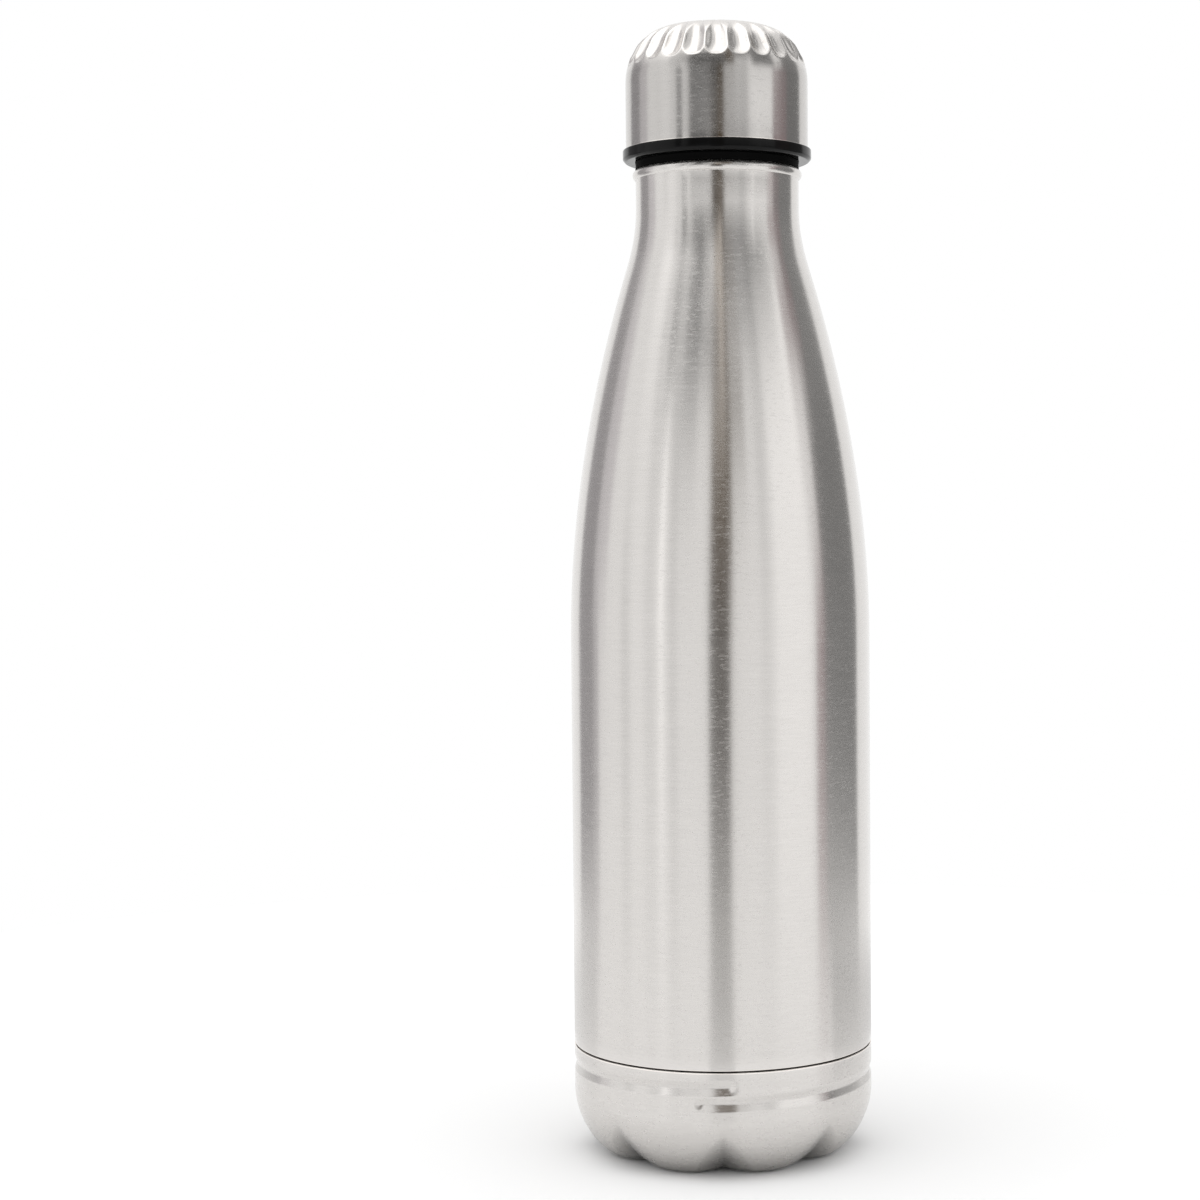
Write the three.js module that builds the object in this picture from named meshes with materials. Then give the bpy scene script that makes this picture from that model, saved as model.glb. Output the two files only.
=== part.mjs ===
// A steel water bottle that hides a compartment behind its screw-off base.
// Millimetres, +Z up. The origin is the centre of the circle that the feet stand on; -Y is the front.
// Every piece is turned about Z. What isn't round (screw ridges, lobes, flutes) is pressed into it after.
import * as THREE from 'three';
import { mergeVertices } from 'three/addons/utils/BufferGeometryUtils.js';

// Steel and clearances
const SHEET = 0.5; // wall of every drawn steel piece
const FIT = 0.3; // clearance between two pieces where one fits inside the other
const VACUUM = 1.7; // evacuated space between the shell and the inner vessel

// One-turn screw ridges, rolled into sheet or moulded; all are right-handed
const LEAD = 3.6; // climb in one turn, on the mouth and on the base alike
const RIDGE_HALF_WIDTH = 1;
const RIDGE_START = 0.04; // share of a turn from the front, where the ridge begins
const RIDGE_END = 0.96;
const RIDGE_FADE = 0.06; // share of a turn over which each end rises out of the wall
const RIDGE_SHAPE = [-1, -0.5, 0, 0.5, 1]; // places across the ridge, in half widths
const BASE_RIDGE_RISE = 0.7;
const MOUTH_RIDGE_RISE = 0.8;

// Base cup, which stands on eight lobes
const BARREL_RADIUS = 35; // the cup and the barrel are both 70 mm across
const CUP_ROUNDING = 14.2; // height over which the wall rounds under to the feet
const CUP_WALL = 11; // straight wall above the rounding
const CUP_WALL_HANDLE = 4.7; // how long the rounding stays close to the wall
const GROOVE_DROP = 6.4; // from the rim down to the middle of the rolled groove
const FOOT_SETBACK = 9.5; // from the wall in to the outer edge of the flat feet
const FOOT_WIDTH = 4;
const FOOT_HANDLE_REACH = 6; // how far out from the feet the rounding stays low
const FOOT_HANDLE_RISE = 1.2;
const CUP_CENTRE_RADIUS = 8; // flat disc in the middle of the underside
const CUP_CENTRE_HEIGHT = 4.6;
const LOBES = 8;
const VALLEY_DROP = 0.7; // from the top of the rounding down to where the valleys begin
const VALLEY_DEPTH = 3; // how far in a valley reaches at the feet
const VALLEY_GROWTH = 1.2; // 1 would deepen the valley evenly on its way down
const VALLEY_RISE = 0.25; // how far a valley lifts the foot, as a share of its depth
const VALLEY_NARROW = 7; // half width of a valley at its top and at the feet, in degrees
const VALLEY_WIDE = 22.5;
const FOOT_SHARE = 0.15; // a foot stays level where the valley reaches in less than this share

// Base gasket, which lies in the cup's rounding
const GASKET_SINK = 3.8; // from the top of the rounding down to the gasket's lower face
const GASKET_THICK = 1.6;
const GASKET_WIDTH = 2.2;
const GASKET_OVERHANG = 0.1; // how far it reaches past the ring that presses on it
const GASKET_EDGE = 0.6;

// Threaded ring, welded into the open lower end of the barrel
const RING_SEAT = 6; // how far the ring reaches up inside the barrel
const RING_STEP = 0.9; // height of the step from the seat to the threaded neck

// Outer shell
const BARREL_LENGTH = 95.5;
const SHOULDER_LENGTH = 86.3;
const SHOULDER_LEAD_IN = 42; // how long the shoulder keeps the barrel's direction
const SHOULDER_LEAD_OUT = 8; // how long it keeps its slope at the top
const SHOULDER_SLOPE = 0.295; // how fast the radius shrinks with height at the top
const FILLET_LENGTH = 9.2;
const FILLET_REACH = 2; // how far the fillet under the neck reaches out from it
const NECK_RADIUS = 19;
const NECK_LENGTH = 12.7;
const LIP_PROUD = 0.7; // rounded bead round the mouth
const LIP_DEPTH = 2.6;

// Inner vessel
const CEILING_GAP = 5; // between the compartment's ceiling and the vessel
const VESSEL_SKIRT = 6;
const VESSEL_CORNER = 4;
const VESSEL_DISH = 3; // rise of the dished bottom's middle
const MOUTH_RIDGE_DROP = 6.9; // from the mouth down to the middle of its inward ridge

// Compartment ceiling, which closes the vacuum from below
const COMPARTMENT_DEPTH = 69.5; // from the seam up to the ceiling
const CEILING_SKIRT = 7;
const CEILING_CORNER = 1.5;
const DIMPLE_RADIUS = 9; // raised middle that protects the pumping hole
const DIMPLE_SLOPE = 2;
const DIMPLE_RISE = 1.5;
const PUMP_HOLE_RADIUS = 1.2;
const BEAD_RADIUS = 3; // glass that seals the pumping hole
const BEAD_THICK = 1;
const BEAD_SHOULDER_RADIUS = 2.4;
const BEAD_SHOULDER_THICK = 0.7;
const COVER_RADIUS = 13;
const COVER_THICK = 0.4;

// Getter on the vacuum side of the ceiling
const GETTER_PLACE = 19; // distance from the bottle's axis
const GETTER_RADIUS = 4;
const GETTER_THICK = 2;
const CLIP_THICK = 0.3;
const CLIP_WIDTH = 4;
const CLIP_FOOT = 3;

// Cap
const CAP_PROUD = 2.2; // how far the cap is wider than the neck
const CAP_WALL = 15.3;
const DOME_HEIGHT = 13;
const DOME_HANDLE_RISE = 6.5; // how long the dome keeps the wall's direction
const DOME_HANDLE_DRAW = 3.7; // how far in from the wall the dome turns level
const CAP_FLAT_RADIUS = 9;
const FLUTES = 24;
const FLUTE_LIFT = 3.6; // from the top of the cap's wall up to the feet of the flutes
const FLUTE_DEPTH = 1;
const FLUTE_TILT = 1.2; // radians from level at which a flute is pressed in at its top end
const FLUTE_LEAN = 0.7; // below 1 puts the deepest place nearer the foot
const COLLAR_INSET = 0.6; // from the lip's bead in to the black collar on it
const COLLAR_HEIGHT = 1.8;
const COLLAR_WAIST = 0.15;
const FLANGE_PROUD = 0.75;
const FLANGE_THICK = 2.7;
const FLANGE_EDGE = 0.4;
const MOULDED_WALL = 1.5;
const INNER_CAP_DROP = 0.5; // from the top of the steel wall down to the inner cap's shoulder
const INNER_CAP_DRAW = 5.7; // from the steel wall in to the inner cap's level top
const CAP_HEADROOM = 5; // from the dome's top down to the inner cap
const STEM_LENGTH = 25; // threaded stem below the flange
const STEM_CHAMFER = 1;
const STEM_FLANGE_THICK = 2;

// How finely each piece is turned
const BODY_COLUMNS = LOBES * 6;
const CAP_COLUMNS = FLUTES * 3;
const INNER_COLUMNS = 36;
const SMALL_COLUMNS = 20;
const SHOULDER_STEPS = 7;
const ROUNDING_STEPS = 7;
const DOME_STEPS = 7;
const DISH_STEPS = 3;
const FILLET_STEPS = 3;
const LIP_STEPS = 4;

// Heights up the bottle
const CUP_RIM = CUP_ROUNDING + CUP_WALL;
const SEAM_HEIGHT = CUP_RIM + FIT;
const GROOVE_HEIGHT = CUP_RIM - GROOVE_DROP;
const RING_BOTTOM = CUP_ROUNDING - GASKET_SINK + GASKET_THICK;
const CEILING_HEIGHT = SEAM_HEIGHT + COMPARTMENT_DEPTH;
const VESSEL_BOTTOM = CEILING_HEIGHT + CEILING_GAP;
const SHOULDER_START = SEAM_HEIGHT + BARREL_LENGTH;
const SHOULDER_END = SHOULDER_START + SHOULDER_LENGTH;
const NECK_START = SHOULDER_END + FILLET_LENGTH;
const LIP_HEIGHT = NECK_START + NECK_LENGTH;
const MOUTH_RIDGE_HEIGHT = LIP_HEIGHT - MOUTH_RIDGE_DROP;
const FLANGE_BOTTOM = LIP_HEIGHT + COLLAR_HEIGHT;
const FLANGE_TOP = FLANGE_BOTTOM + FLANGE_THICK;
const DOME_START = FLANGE_TOP + CAP_WALL;
const CAP_TOP = DOME_START + DOME_HEIGHT;
const INNER_CAP_SHOULDER = DOME_START - INNER_CAP_DROP;
const INNER_CAP_TOP = CAP_TOP - CAP_HEADROOM;
const STEM_BOTTOM = FLANGE_BOTTOM - STEM_LENGTH;
const STEM_TOP = FLANGE_BOTTOM + STEM_FLANGE_THICK;

// Radii that follow from one another
const FOOT_RADIUS = BARREL_RADIUS - FOOT_SETBACK;
const FOOT_INNER_RADIUS = FOOT_RADIUS - FOOT_WIDTH;
const SEAT_RADIUS = BARREL_RADIUS - SHEET - FIT; // outside of what is welded into the barrel
const RING_RADIUS = SEAT_RADIUS - BASE_RIDGE_RISE;
const LIP_RADIUS = NECK_RADIUS + LIP_PROUD;
const VESSEL_RADIUS = vesselRadius(BARREL_RADIUS);
const VESSEL_NECK_RADIUS = vesselRadius(NECK_RADIUS);
const STEM_RADIUS = VESSEL_NECK_RADIUS - SHEET - MOUTH_RIDGE_RISE - FIT;
const COLLAR_RADIUS = LIP_RADIUS - COLLAR_INSET;
const CAP_RADIUS = NECK_RADIUS + CAP_PROUD;
const FLANGE_RADIUS = CAP_RADIUS + FLANGE_PROUD;
const SKIRT_RADIUS = CAP_RADIUS - SHEET - FIT; // outside of the inner cap, which the steel grips
const INNER_CAP_TOP_RADIUS = CAP_RADIUS - INNER_CAP_DRAW;

const SHELL_STEEL = { color: 0xc9c6c2, roughness: 0.32, metalness: 1 };
const POLISHED_STEEL = { color: 0xd4d2d0, roughness: 0.16, metalness: 1 };
const VESSEL_STEEL = { color: 0xbdbcba, roughness: 0.28, metalness: 1 };
const BLACK_PLASTIC = { color: 0x101012, roughness: 0.3, metalness: 0 };
const BLACK_SILICONE = { color: 0x151516, roughness: 0.65, metalness: 0 };
const WHITE_FOAM = { color: 0xe9e7e0, roughness: 0.9, metalness: 0 };
const SEAL_GLASS = { color: 0x3b4648, roughness: 0.12, metalness: 0 };
const GETTER_METAL = { color: 0x6a6866, roughness: 0.6, metalness: 0.8 };

const bottle = new THREE.Group();

/** Adds a piece to the bottle under its name. */
function add(name, geometry, finish) {
  const piece = new THREE.Mesh(geometry, new THREE.MeshStandardMaterial(finish));
  piece.name = name;
  bottle.add(piece);
}

/** Outer radius of the inner vessel where the shell has the given outer radius. */
function vesselRadius(shellRadius) {
  return shellRadius - SHEET - VACUUM;
}

/** The same geometry with shared corners and without the flat triangles that a pole leaves. */
function joined(geometry) {
  geometry.deleteAttribute('normal');
  geometry.deleteAttribute('uv');
  const merged = mergeVertices(geometry, 1e-4);
  const index = merged.index.array;
  const kept = [];
  for (let i = 0; i < index.length; i += 3) {
    const [a, b, c] = [index[i], index[i + 1], index[i + 2]];
    if (a !== b && b !== c && c !== a) {
      kept.push(a, b, c);
    }
  }
  merged.setIndex(kept);
  return merged;
}

/** [radius, height] pairs as vectors. */
function vectors(points) {
  return points.map(([radius, height]) => new THREE.Vector2(radius, height));
}

/** A body of revolution about Z from [radius, height] corners that close on themselves or on the axis. */
function turned(corners, columns) {
  const outline = vectors(corners);
  const onAxis = outline[0].x === 0 && outline.at(-1).x === 0;
  if (THREE.ShapeUtils.area(outline) < 0) {
    outline.reverse();
  }
  if (!onAxis) {
    outline.push(outline[0].clone());
  }
  const geometry = joined(new THREE.LatheGeometry(outline, columns));
  geometry.rotateX(Math.PI / 2);
  return geometry;
}

/** The same line of points moved square to itself, to the left of its direction, by a thickness. */
function inset(points, thickness) {
  const line = vectors(points);
  const directions = line.slice(1).map((point, i) => point.clone().sub(line[i]).normalize());
  return line.map((point, i) => {
    const before = directions[Math.max(i - 1, 0)];
    const after = directions[Math.min(i, directions.length - 1)];
    const along = before.clone().add(after).normalize();
    const reach = thickness / along.dot(before);
    return [point.x - along.y * reach, point.y + along.x * reach];
  });
}

/** A turned piece of drawn sheet from the line of its outside, which lies to the right of the line. */
function drawn(outside, columns) {
  return turned([...outside, ...inset(outside, SHEET).reverse()], columns);
}

/** Points along a cubic curve between [radius, height] ends with their two handles. */
function curve(start, handle, secondHandle, end, steps) {
  const shape = new THREE.CubicBezierCurve(...vectors([start, handle, secondHandle, end]));
  return shape.getPoints(steps).map((point) => [point.x, point.y]);
}

/** Moves each corner where a rule puts it, given its turn from the front (0 to 1), radius and height. */
function pressed(geometry, rule) {
  const place = geometry.attributes.position;
  for (let i = 0; i < place.count; i += 1) {
    const [x, y, z] = [place.getX(i), place.getY(i), place.getZ(i)];
    const radius = Math.hypot(x, y);
    const turn = (Math.atan2(x, -y) / (2 * Math.PI) + 1) % 1;
    const [newRadius, newHeight] = rule(turn, radius, z);
    const stretch = radius > 0 ? newRadius / radius : 0;
    place.setXYZ(i, x * stretch, y * stretch, newHeight);
  }
  return geometry;
}

/** The rows of corners across a screw ridge on a plain wall, from bottom to top. */
function ridgeRows(radius, middle) {
  const plain = RIDGE_HALF_WIDTH + LEAD / 2 + FIT;
  const across = RIDGE_SHAPE.map((share) => [radius, middle + share * RIDGE_HALF_WIDTH]);
  return [[radius, middle - plain], ...across, [radius, middle + plain]];
}

/** The rule that raises a one-turn ridge out of ridgeRows. The rows climb with it and drop past its ends. */
function screwRidge(middle, rise, isWall = () => true) {
  return (turn, radius, height) => {
    const share = (height - middle) / RIDGE_HALF_WIDTH;
    if (Math.abs(share) > 1.001 || !isWall(radius)) {
      return [radius, height];
    }
    const past = turn < RIDGE_START ? turn + 1 : turn;
    const back = Math.max(0, past - RIDGE_END) / (1 - RIDGE_END + RIDGE_START);
    const climbed = Math.min(past, RIDGE_END) - back * (RIDGE_END - RIDGE_START);
    const fromEnd = Math.min(past - RIDGE_START, RIDGE_END - past) / RIDGE_FADE;
    const strength = THREE.MathUtils.clamp(fromEnd, 0, 1);
    return [radius + rise * strength * (1 - share * share), height + LEAD * (climbed - 0.5)];
  };
}

/** The shell's outside from the top of the straight barrel to the start of the neck. */
function shoulder() {
  const start = [BARREL_RADIUS, SHOULDER_START];
  const startHandle = [BARREL_RADIUS, SHOULDER_START + SHOULDER_LEAD_IN];
  const end = [NECK_RADIUS + FILLET_REACH, SHOULDER_END];
  const endHandle = [end[0] + SHOULDER_SLOPE * SHOULDER_LEAD_OUT, SHOULDER_END - SHOULDER_LEAD_OUT];
  const flank = curve(start, startHandle, endHandle, end, SHOULDER_STEPS);
  const bend = [NECK_RADIUS, SHOULDER_END + FILLET_REACH / SHOULDER_SLOPE];
  const fillet = curve(end, bend, bend, [NECK_RADIUS, NECK_START], FILLET_STEPS);
  return [...flank, ...fillet.slice(1)];
}

/** The rounded bead round the mouth, from the neck's wall up to its level top. */
function lipBead() {
  const round = LIP_DEPTH / 2;
  const middle = LIP_RADIUS - round;
  const start = -Math.acos((NECK_RADIUS - middle) / round);
  const points = [];
  for (let i = 0; i <= LIP_STEPS; i += 1) {
    const angle = THREE.MathUtils.lerp(start, Math.PI / 2, i / LIP_STEPS);
    points.push([middle + round * Math.cos(angle), LIP_HEIGHT - round + round * Math.sin(angle)]);
  }
  return points;
}

function bodyShell() {
  const outside = [
    [BARREL_RADIUS, SEAM_HEIGHT],
    ...shoulder(),
    ...lipBead(),
    [VESSEL_NECK_RADIUS + FIT, LIP_HEIGHT],
  ];
  add('body_shell', drawn(outside, BODY_COLUMNS), SHELL_STEEL);
}

function baseThreadRing() {
  const middle = GROOVE_HEIGHT - LEAD / 2;
  const outside = [
    [RING_RADIUS, RING_BOTTOM],
    ...ridgeRows(RING_RADIUS, middle),
    [RING_RADIUS, SEAM_HEIGHT - RING_STEP],
    [SEAT_RADIUS, SEAM_HEIGHT],
    [SEAT_RADIUS, SEAM_HEIGHT + RING_SEAT],
  ];
  const ring = pressed(drawn(outside, BODY_COLUMNS), screwRidge(middle, BASE_RIDGE_RISE));
  add('base_thread_ring', ring, POLISHED_STEEL);
}

function compartmentCeiling() {
  const above = [
    [SEAT_RADIUS, CEILING_HEIGHT - CEILING_SKIRT],
    [SEAT_RADIUS, CEILING_HEIGHT - CEILING_CORNER],
    [SEAT_RADIUS - CEILING_CORNER, CEILING_HEIGHT],
    [DIMPLE_RADIUS + DIMPLE_SLOPE, CEILING_HEIGHT],
    [DIMPLE_RADIUS, CEILING_HEIGHT + DIMPLE_RISE],
    [PUMP_HOLE_RADIUS, CEILING_HEIGHT + DIMPLE_RISE],
  ];
  add('compartment_ceiling', drawn(above, INNER_COLUMNS), VESSEL_STEEL);
}

/** The glass bead under the pumping hole and the disc that covers it. */
function vacuumSeal() {
  const top = CEILING_HEIGHT + DIMPLE_RISE - SHEET;
  const bead = [
    [0, top],
    [BEAD_RADIUS, top],
    [BEAD_SHOULDER_RADIUS, top - BEAD_SHOULDER_THICK],
    [0, top - BEAD_THICK],
  ];
  add('glass_seal', turned(bead, SMALL_COLUMNS), SEAL_GLASS);
  const coverTop = CEILING_HEIGHT - SHEET;
  const cover = [
    [0, coverTop - COVER_THICK],
    [COVER_RADIUS - COVER_THICK, coverTop - COVER_THICK],
    [COVER_RADIUS, coverTop],
    [0, coverTop],
  ];
  add('seal_cover', turned(cover, INNER_COLUMNS), POLISHED_STEEL);
}

/** The getter pill on the ceiling's upper face, and the bent strap that holds it down. */
function getter() {
  const pill = new THREE.CylinderGeometry(GETTER_RADIUS, GETTER_RADIUS, GETTER_THICK, SMALL_COLUMNS);
  pill.rotateX(Math.PI / 2);
  pill.translate(GETTER_PLACE, 0, CEILING_HEIGHT + GETTER_THICK / 2);
  add('getter_pill', joined(pill), GETTER_METAL);
  const leg = GETTER_RADIUS + FIT;
  const foot = leg + CLIP_THICK + CLIP_FOOT;
  const under = [[-foot, 0], [-leg, 0], [-leg, GETTER_THICK], [leg, GETTER_THICK], [leg, 0], [foot, 0]];
  const strap = new THREE.Shape(vectors([...under, ...inset(under, CLIP_THICK).reverse()]));
  const clip = new THREE.ExtrudeGeometry(strap, { depth: CLIP_WIDTH, bevelEnabled: false });
  clip.translate(0, 0, -CLIP_WIDTH / 2);
  clip.rotateX(Math.PI / 2);
  clip.rotateZ(Math.PI / 2);
  clip.translate(GETTER_PLACE, 0, CEILING_HEIGHT);
  add('getter_clip', joined(clip), VESSEL_STEEL);
}

function innerVessel() {
  const wall = shoulder().slice(0, -1);
  const outside = [
    [VESSEL_RADIUS, VESSEL_BOTTOM],
    ...wall.map(([radius, height]) => [vesselRadius(radius), height]),
    ...ridgeRows(VESSEL_NECK_RADIUS, MOUTH_RIDGE_HEIGHT),
    [VESSEL_NECK_RADIUS, LIP_HEIGHT],
  ];
  const ridge = screwRidge(MOUTH_RIDGE_HEIGHT, -MOUTH_RIDGE_RISE);
  add('inner_vessel', pressed(drawn(outside, INNER_COLUMNS), ridge), VESSEL_STEEL);
}

function vesselBottom() {
  const edge = VESSEL_RADIUS - SHEET - FIT;
  const dishRadius = edge - VESSEL_CORNER;
  const below = [];
  for (let i = 0; i <= DISH_STEPS; i += 1) {
    const share = i / DISH_STEPS;
    below.push([dishRadius * share, VESSEL_BOTTOM + VESSEL_DISH * (1 - share * share)]);
  }
  const corner = [edge, VESSEL_BOTTOM];
  const side = [edge, VESSEL_BOTTOM + VESSEL_CORNER];
  below.push(...curve([dishRadius, VESSEL_BOTTOM], corner, corner, side, FILLET_STEPS).slice(1));
  below.push([edge, VESSEL_BOTTOM + VESSEL_SKIRT]);
  add('vessel_bottom', drawn(below, INNER_COLUMNS), VESSEL_STEEL);
}

/** How far the valley between two lobes reaches in at a turn: 0 on a lobe, 1 in the valley's crease. */
function valleyShare(turn, down) {
  const pitch = 360 / LOBES;
  const angle = Math.abs(((turn * 360 + pitch / 2) % pitch) - pitch / 2);
  const halfWidth = THREE.MathUtils.lerp(VALLEY_NARROW, VALLEY_WIDE, down);
  return 1 - Math.sin((Math.PI / 2) * Math.min(1, angle / halfWidth));
}

/** The rule that presses the valleys in, deeper on the way down, with a lift under the feet. */
function lobes(turn, radius, height) {
  const fromTop = 1 - height / (CUP_ROUNDING - VALLEY_DROP);
  const down = radius < FOOT_RADIUS ? 1 : THREE.MathUtils.clamp(fromTop, 0, 1);
  const fade = THREE.MathUtils.smoothstep(radius, CUP_CENTRE_RADIUS, FOOT_INNER_RADIUS);
  const depth = VALLEY_DEPTH * down ** VALLEY_GROWTH * fade;
  const share = valleyShare(turn, down);
  const lifted = Math.max(0, share - FOOT_SHARE) / (1 - FOOT_SHARE);
  return [radius - depth * share, height + depth * down * VALLEY_RISE * lifted];
}

/** The cup's underside from its flat middle out to the feet, and round from the feet up to the wall. */
function cupUnderside() {
  const half = (CUP_CENTRE_RADIUS + FOOT_INNER_RADIUS) / 2;
  const centre = [CUP_CENTRE_RADIUS, CUP_CENTRE_HEIGHT];
  const inner = [FOOT_INNER_RADIUS, 0];
  const hollow = curve(centre, [half, CUP_CENTRE_HEIGHT], [half, 0], inner, DISH_STEPS);
  const lowHandle = [FOOT_RADIUS + FOOT_HANDLE_REACH, FOOT_HANDLE_RISE];
  const highHandle = [BARREL_RADIUS, CUP_ROUNDING - CUP_WALL_HANDLE];
  const wall = [BARREL_RADIUS, CUP_ROUNDING];
  return [...hollow, ...curve([FOOT_RADIUS, 0], lowHandle, highHandle, wall, ROUNDING_STEPS)];
}

function baseCup() {
  const outside = [
    [0, CUP_CENTRE_HEIGHT],
    ...cupUnderside(),
    ...ridgeRows(BARREL_RADIUS, GROOVE_HEIGHT),
    [BARREL_RADIUS, CUP_RIM],
  ];
  const rolled = pressed(drawn(outside, BODY_COLUMNS), screwRidge(GROOVE_HEIGHT, -BASE_RIDGE_RISE));
  add('base_cup', pressed(rolled, lobes), SHELL_STEEL);
}

function baseGasket() {
  const outer = RING_RADIUS + GASKET_OVERHANG;
  const bottom = RING_BOTTOM - GASKET_THICK;
  const outline = [
    [outer, RING_BOTTOM],
    [outer - GASKET_WIDTH, RING_BOTTOM],
    [outer - GASKET_WIDTH, bottom],
    [outer - GASKET_EDGE, bottom],
    [outer, bottom + GASKET_EDGE],
  ];
  add('base_gasket', turned(outline, INNER_COLUMNS), BLACK_SILICONE);
}

/** The rule that presses the flutes round the dome, level at their feet and steep at their tops. */
function flutes(turn, radius, height) {
  const up = (height - DOME_START - FLUTE_LIFT) / (DOME_HEIGHT - FLUTE_LIFT);
  if (up <= 0 || radius < CAP_FLAT_RADIUS) {
    return [radius, height];
  }
  const across = Math.abs(((turn * FLUTES + 0.5) % 1) - 0.5) * 2;
  const depth = FLUTE_DEPTH * Math.sin(Math.PI * up ** FLUTE_LEAN) * (1 - across * across);
  return [radius - depth * Math.cos(up * FLUTE_TILT), height - depth * Math.sin(up * FLUTE_TILT)];
}

function capShell() {
  const start = [CAP_RADIUS, DOME_START];
  const startHandle = [CAP_RADIUS, DOME_START + DOME_HANDLE_RISE];
  const endHandle = [CAP_RADIUS - DOME_HANDLE_DRAW, CAP_TOP];
  const dome = curve(start, startHandle, endHandle, [CAP_FLAT_RADIUS, CAP_TOP], DOME_STEPS);
  const outside = [[CAP_RADIUS, FLANGE_TOP], ...dome, [0, CAP_TOP]];
  add('cap_shell', pressed(drawn(outside, CAP_COLUMNS), flutes), SHELL_STEEL);
}

function innerCap() {
  const outside = [
    [FLANGE_RADIUS - FLANGE_EDGE, FLANGE_BOTTOM],
    [FLANGE_RADIUS, FLANGE_BOTTOM + FLANGE_EDGE],
    [FLANGE_RADIUS, FLANGE_TOP - FLANGE_EDGE / 2],
    [FLANGE_RADIUS - FLANGE_EDGE / 2, FLANGE_TOP],
    [SKIRT_RADIUS, FLANGE_TOP],
    [SKIRT_RADIUS, INNER_CAP_SHOULDER],
    [INNER_CAP_TOP_RADIUS, INNER_CAP_TOP],
    [0, INNER_CAP_TOP],
  ];
  const hollow = inset([[SKIRT_RADIUS, FLANGE_BOTTOM], ...outside.slice(-3)], MOULDED_WALL);
  add('inner_cap', turned([...outside, ...hollow.reverse()], INNER_COLUMNS), BLACK_PLASTIC);
}

function threadedStem() {
  const middle = MOUTH_RIDGE_HEIGHT - LEAD / 2;
  const flange = SKIRT_RADIUS - MOULDED_WALL - FIT;
  const bore = STEM_RADIUS - MOULDED_WALL;
  const outside = [
    [0, STEM_BOTTOM],
    [STEM_RADIUS - STEM_CHAMFER, STEM_BOTTOM],
    [STEM_RADIUS, STEM_BOTTOM + STEM_CHAMFER],
    ...ridgeRows(STEM_RADIUS, middle),
    [STEM_RADIUS, FLANGE_BOTTOM],
    [flange, FLANGE_BOTTOM],
    [flange, STEM_TOP],
  ];
  const hollow = [[bore, STEM_TOP], [bore, STEM_BOTTOM + MOULDED_WALL], [0, STEM_BOTTOM + MOULDED_WALL]];
  const stem = turned([...outside, ...hollow], INNER_COLUMNS);
  const ridge = screwRidge(middle, MOUTH_RIDGE_RISE, (radius) => radius > bore + MOULDED_WALL / 2);
  add('threaded_stem', pressed(stem, ridge), BLACK_PLASTIC);
}

/** The two foam fillings: one in the stem and one in the inner cap above it. */
function capInsulation() {
  const stemInside = STEM_RADIUS - MOULDED_WALL - FIT;
  const plugBottom = STEM_BOTTOM + MOULDED_WALL + FIT;
  const plug = [[0, plugBottom], [stemInside, plugBottom], [stemInside, STEM_TOP], [0, STEM_TOP]];
  add('stem_foam', turned(plug, INNER_COLUMNS), WHITE_FOAM);
  const lid = [
    [SKIRT_RADIUS, STEM_TOP + FIT],
    [SKIRT_RADIUS, INNER_CAP_SHOULDER],
    [INNER_CAP_TOP_RADIUS, INNER_CAP_TOP],
    [0, INNER_CAP_TOP],
  ];
  const block = [[0, STEM_TOP + FIT], ...inset(lid, MOULDED_WALL + FIT)];
  add('cap_foam', turned(block, INNER_COLUMNS), WHITE_FOAM);
}

function capGasket() {
  const inner = STEM_RADIUS + FIT;
  const outline = [
    [inner, LIP_HEIGHT],
    [COLLAR_RADIUS, LIP_HEIGHT],
    [COLLAR_RADIUS - COLLAR_WAIST, (LIP_HEIGHT + FLANGE_BOTTOM) / 2],
    [COLLAR_RADIUS, FLANGE_BOTTOM],
    [inner, FLANGE_BOTTOM],
  ];
  add('cap_gasket', turned(outline, INNER_COLUMNS), BLACK_SILICONE);
}

bodyShell();
baseThreadRing();
compartmentCeiling();
vacuumSeal();
getter();
innerVessel();
vesselBottom();
baseCup();
baseGasket();
capShell();
innerCap();
threadedStem();
capInsulation();
capGasket();

export default bottle;
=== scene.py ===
import logging
import math
from collections.abc import Callable, Sequence
from dataclasses import dataclass, field
from enum import IntEnum

import bpy
import numpy as np
from mathutils import Matrix, Vector


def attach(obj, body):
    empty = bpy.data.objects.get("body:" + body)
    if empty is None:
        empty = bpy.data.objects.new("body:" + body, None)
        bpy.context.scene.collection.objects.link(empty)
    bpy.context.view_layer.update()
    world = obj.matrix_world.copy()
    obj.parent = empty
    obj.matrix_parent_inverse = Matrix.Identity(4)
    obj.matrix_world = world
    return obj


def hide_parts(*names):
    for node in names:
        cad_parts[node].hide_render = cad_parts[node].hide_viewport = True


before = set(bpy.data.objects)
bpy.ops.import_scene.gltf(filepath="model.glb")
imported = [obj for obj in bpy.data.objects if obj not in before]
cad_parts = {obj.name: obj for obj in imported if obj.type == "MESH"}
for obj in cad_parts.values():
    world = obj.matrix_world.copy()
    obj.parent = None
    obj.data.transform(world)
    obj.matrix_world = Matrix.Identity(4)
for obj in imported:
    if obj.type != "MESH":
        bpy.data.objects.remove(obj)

log = logging.getLogger("bottle")

MM = 0.001
Points = np.ndarray
Colour = tuple[float, float, float, float]
Material = bpy.types.Material
Pair = tuple[Points, Points]
Rule = Callable[[Points, Points, Points], Pair]  # of the turns, radii and heights

SHEET = 0.5  # wall of every drawn steel piece, in mm as all the sizes below
FIT = 0.3  # clearance between two pieces where one fits inside the other
VACUUM = 1.7  # evacuated space between the shell and the inner vessel
LEAD = 3.6  # climb of every screw ridge in one turn


# -------------------- lines in the plane of radius and height


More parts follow.
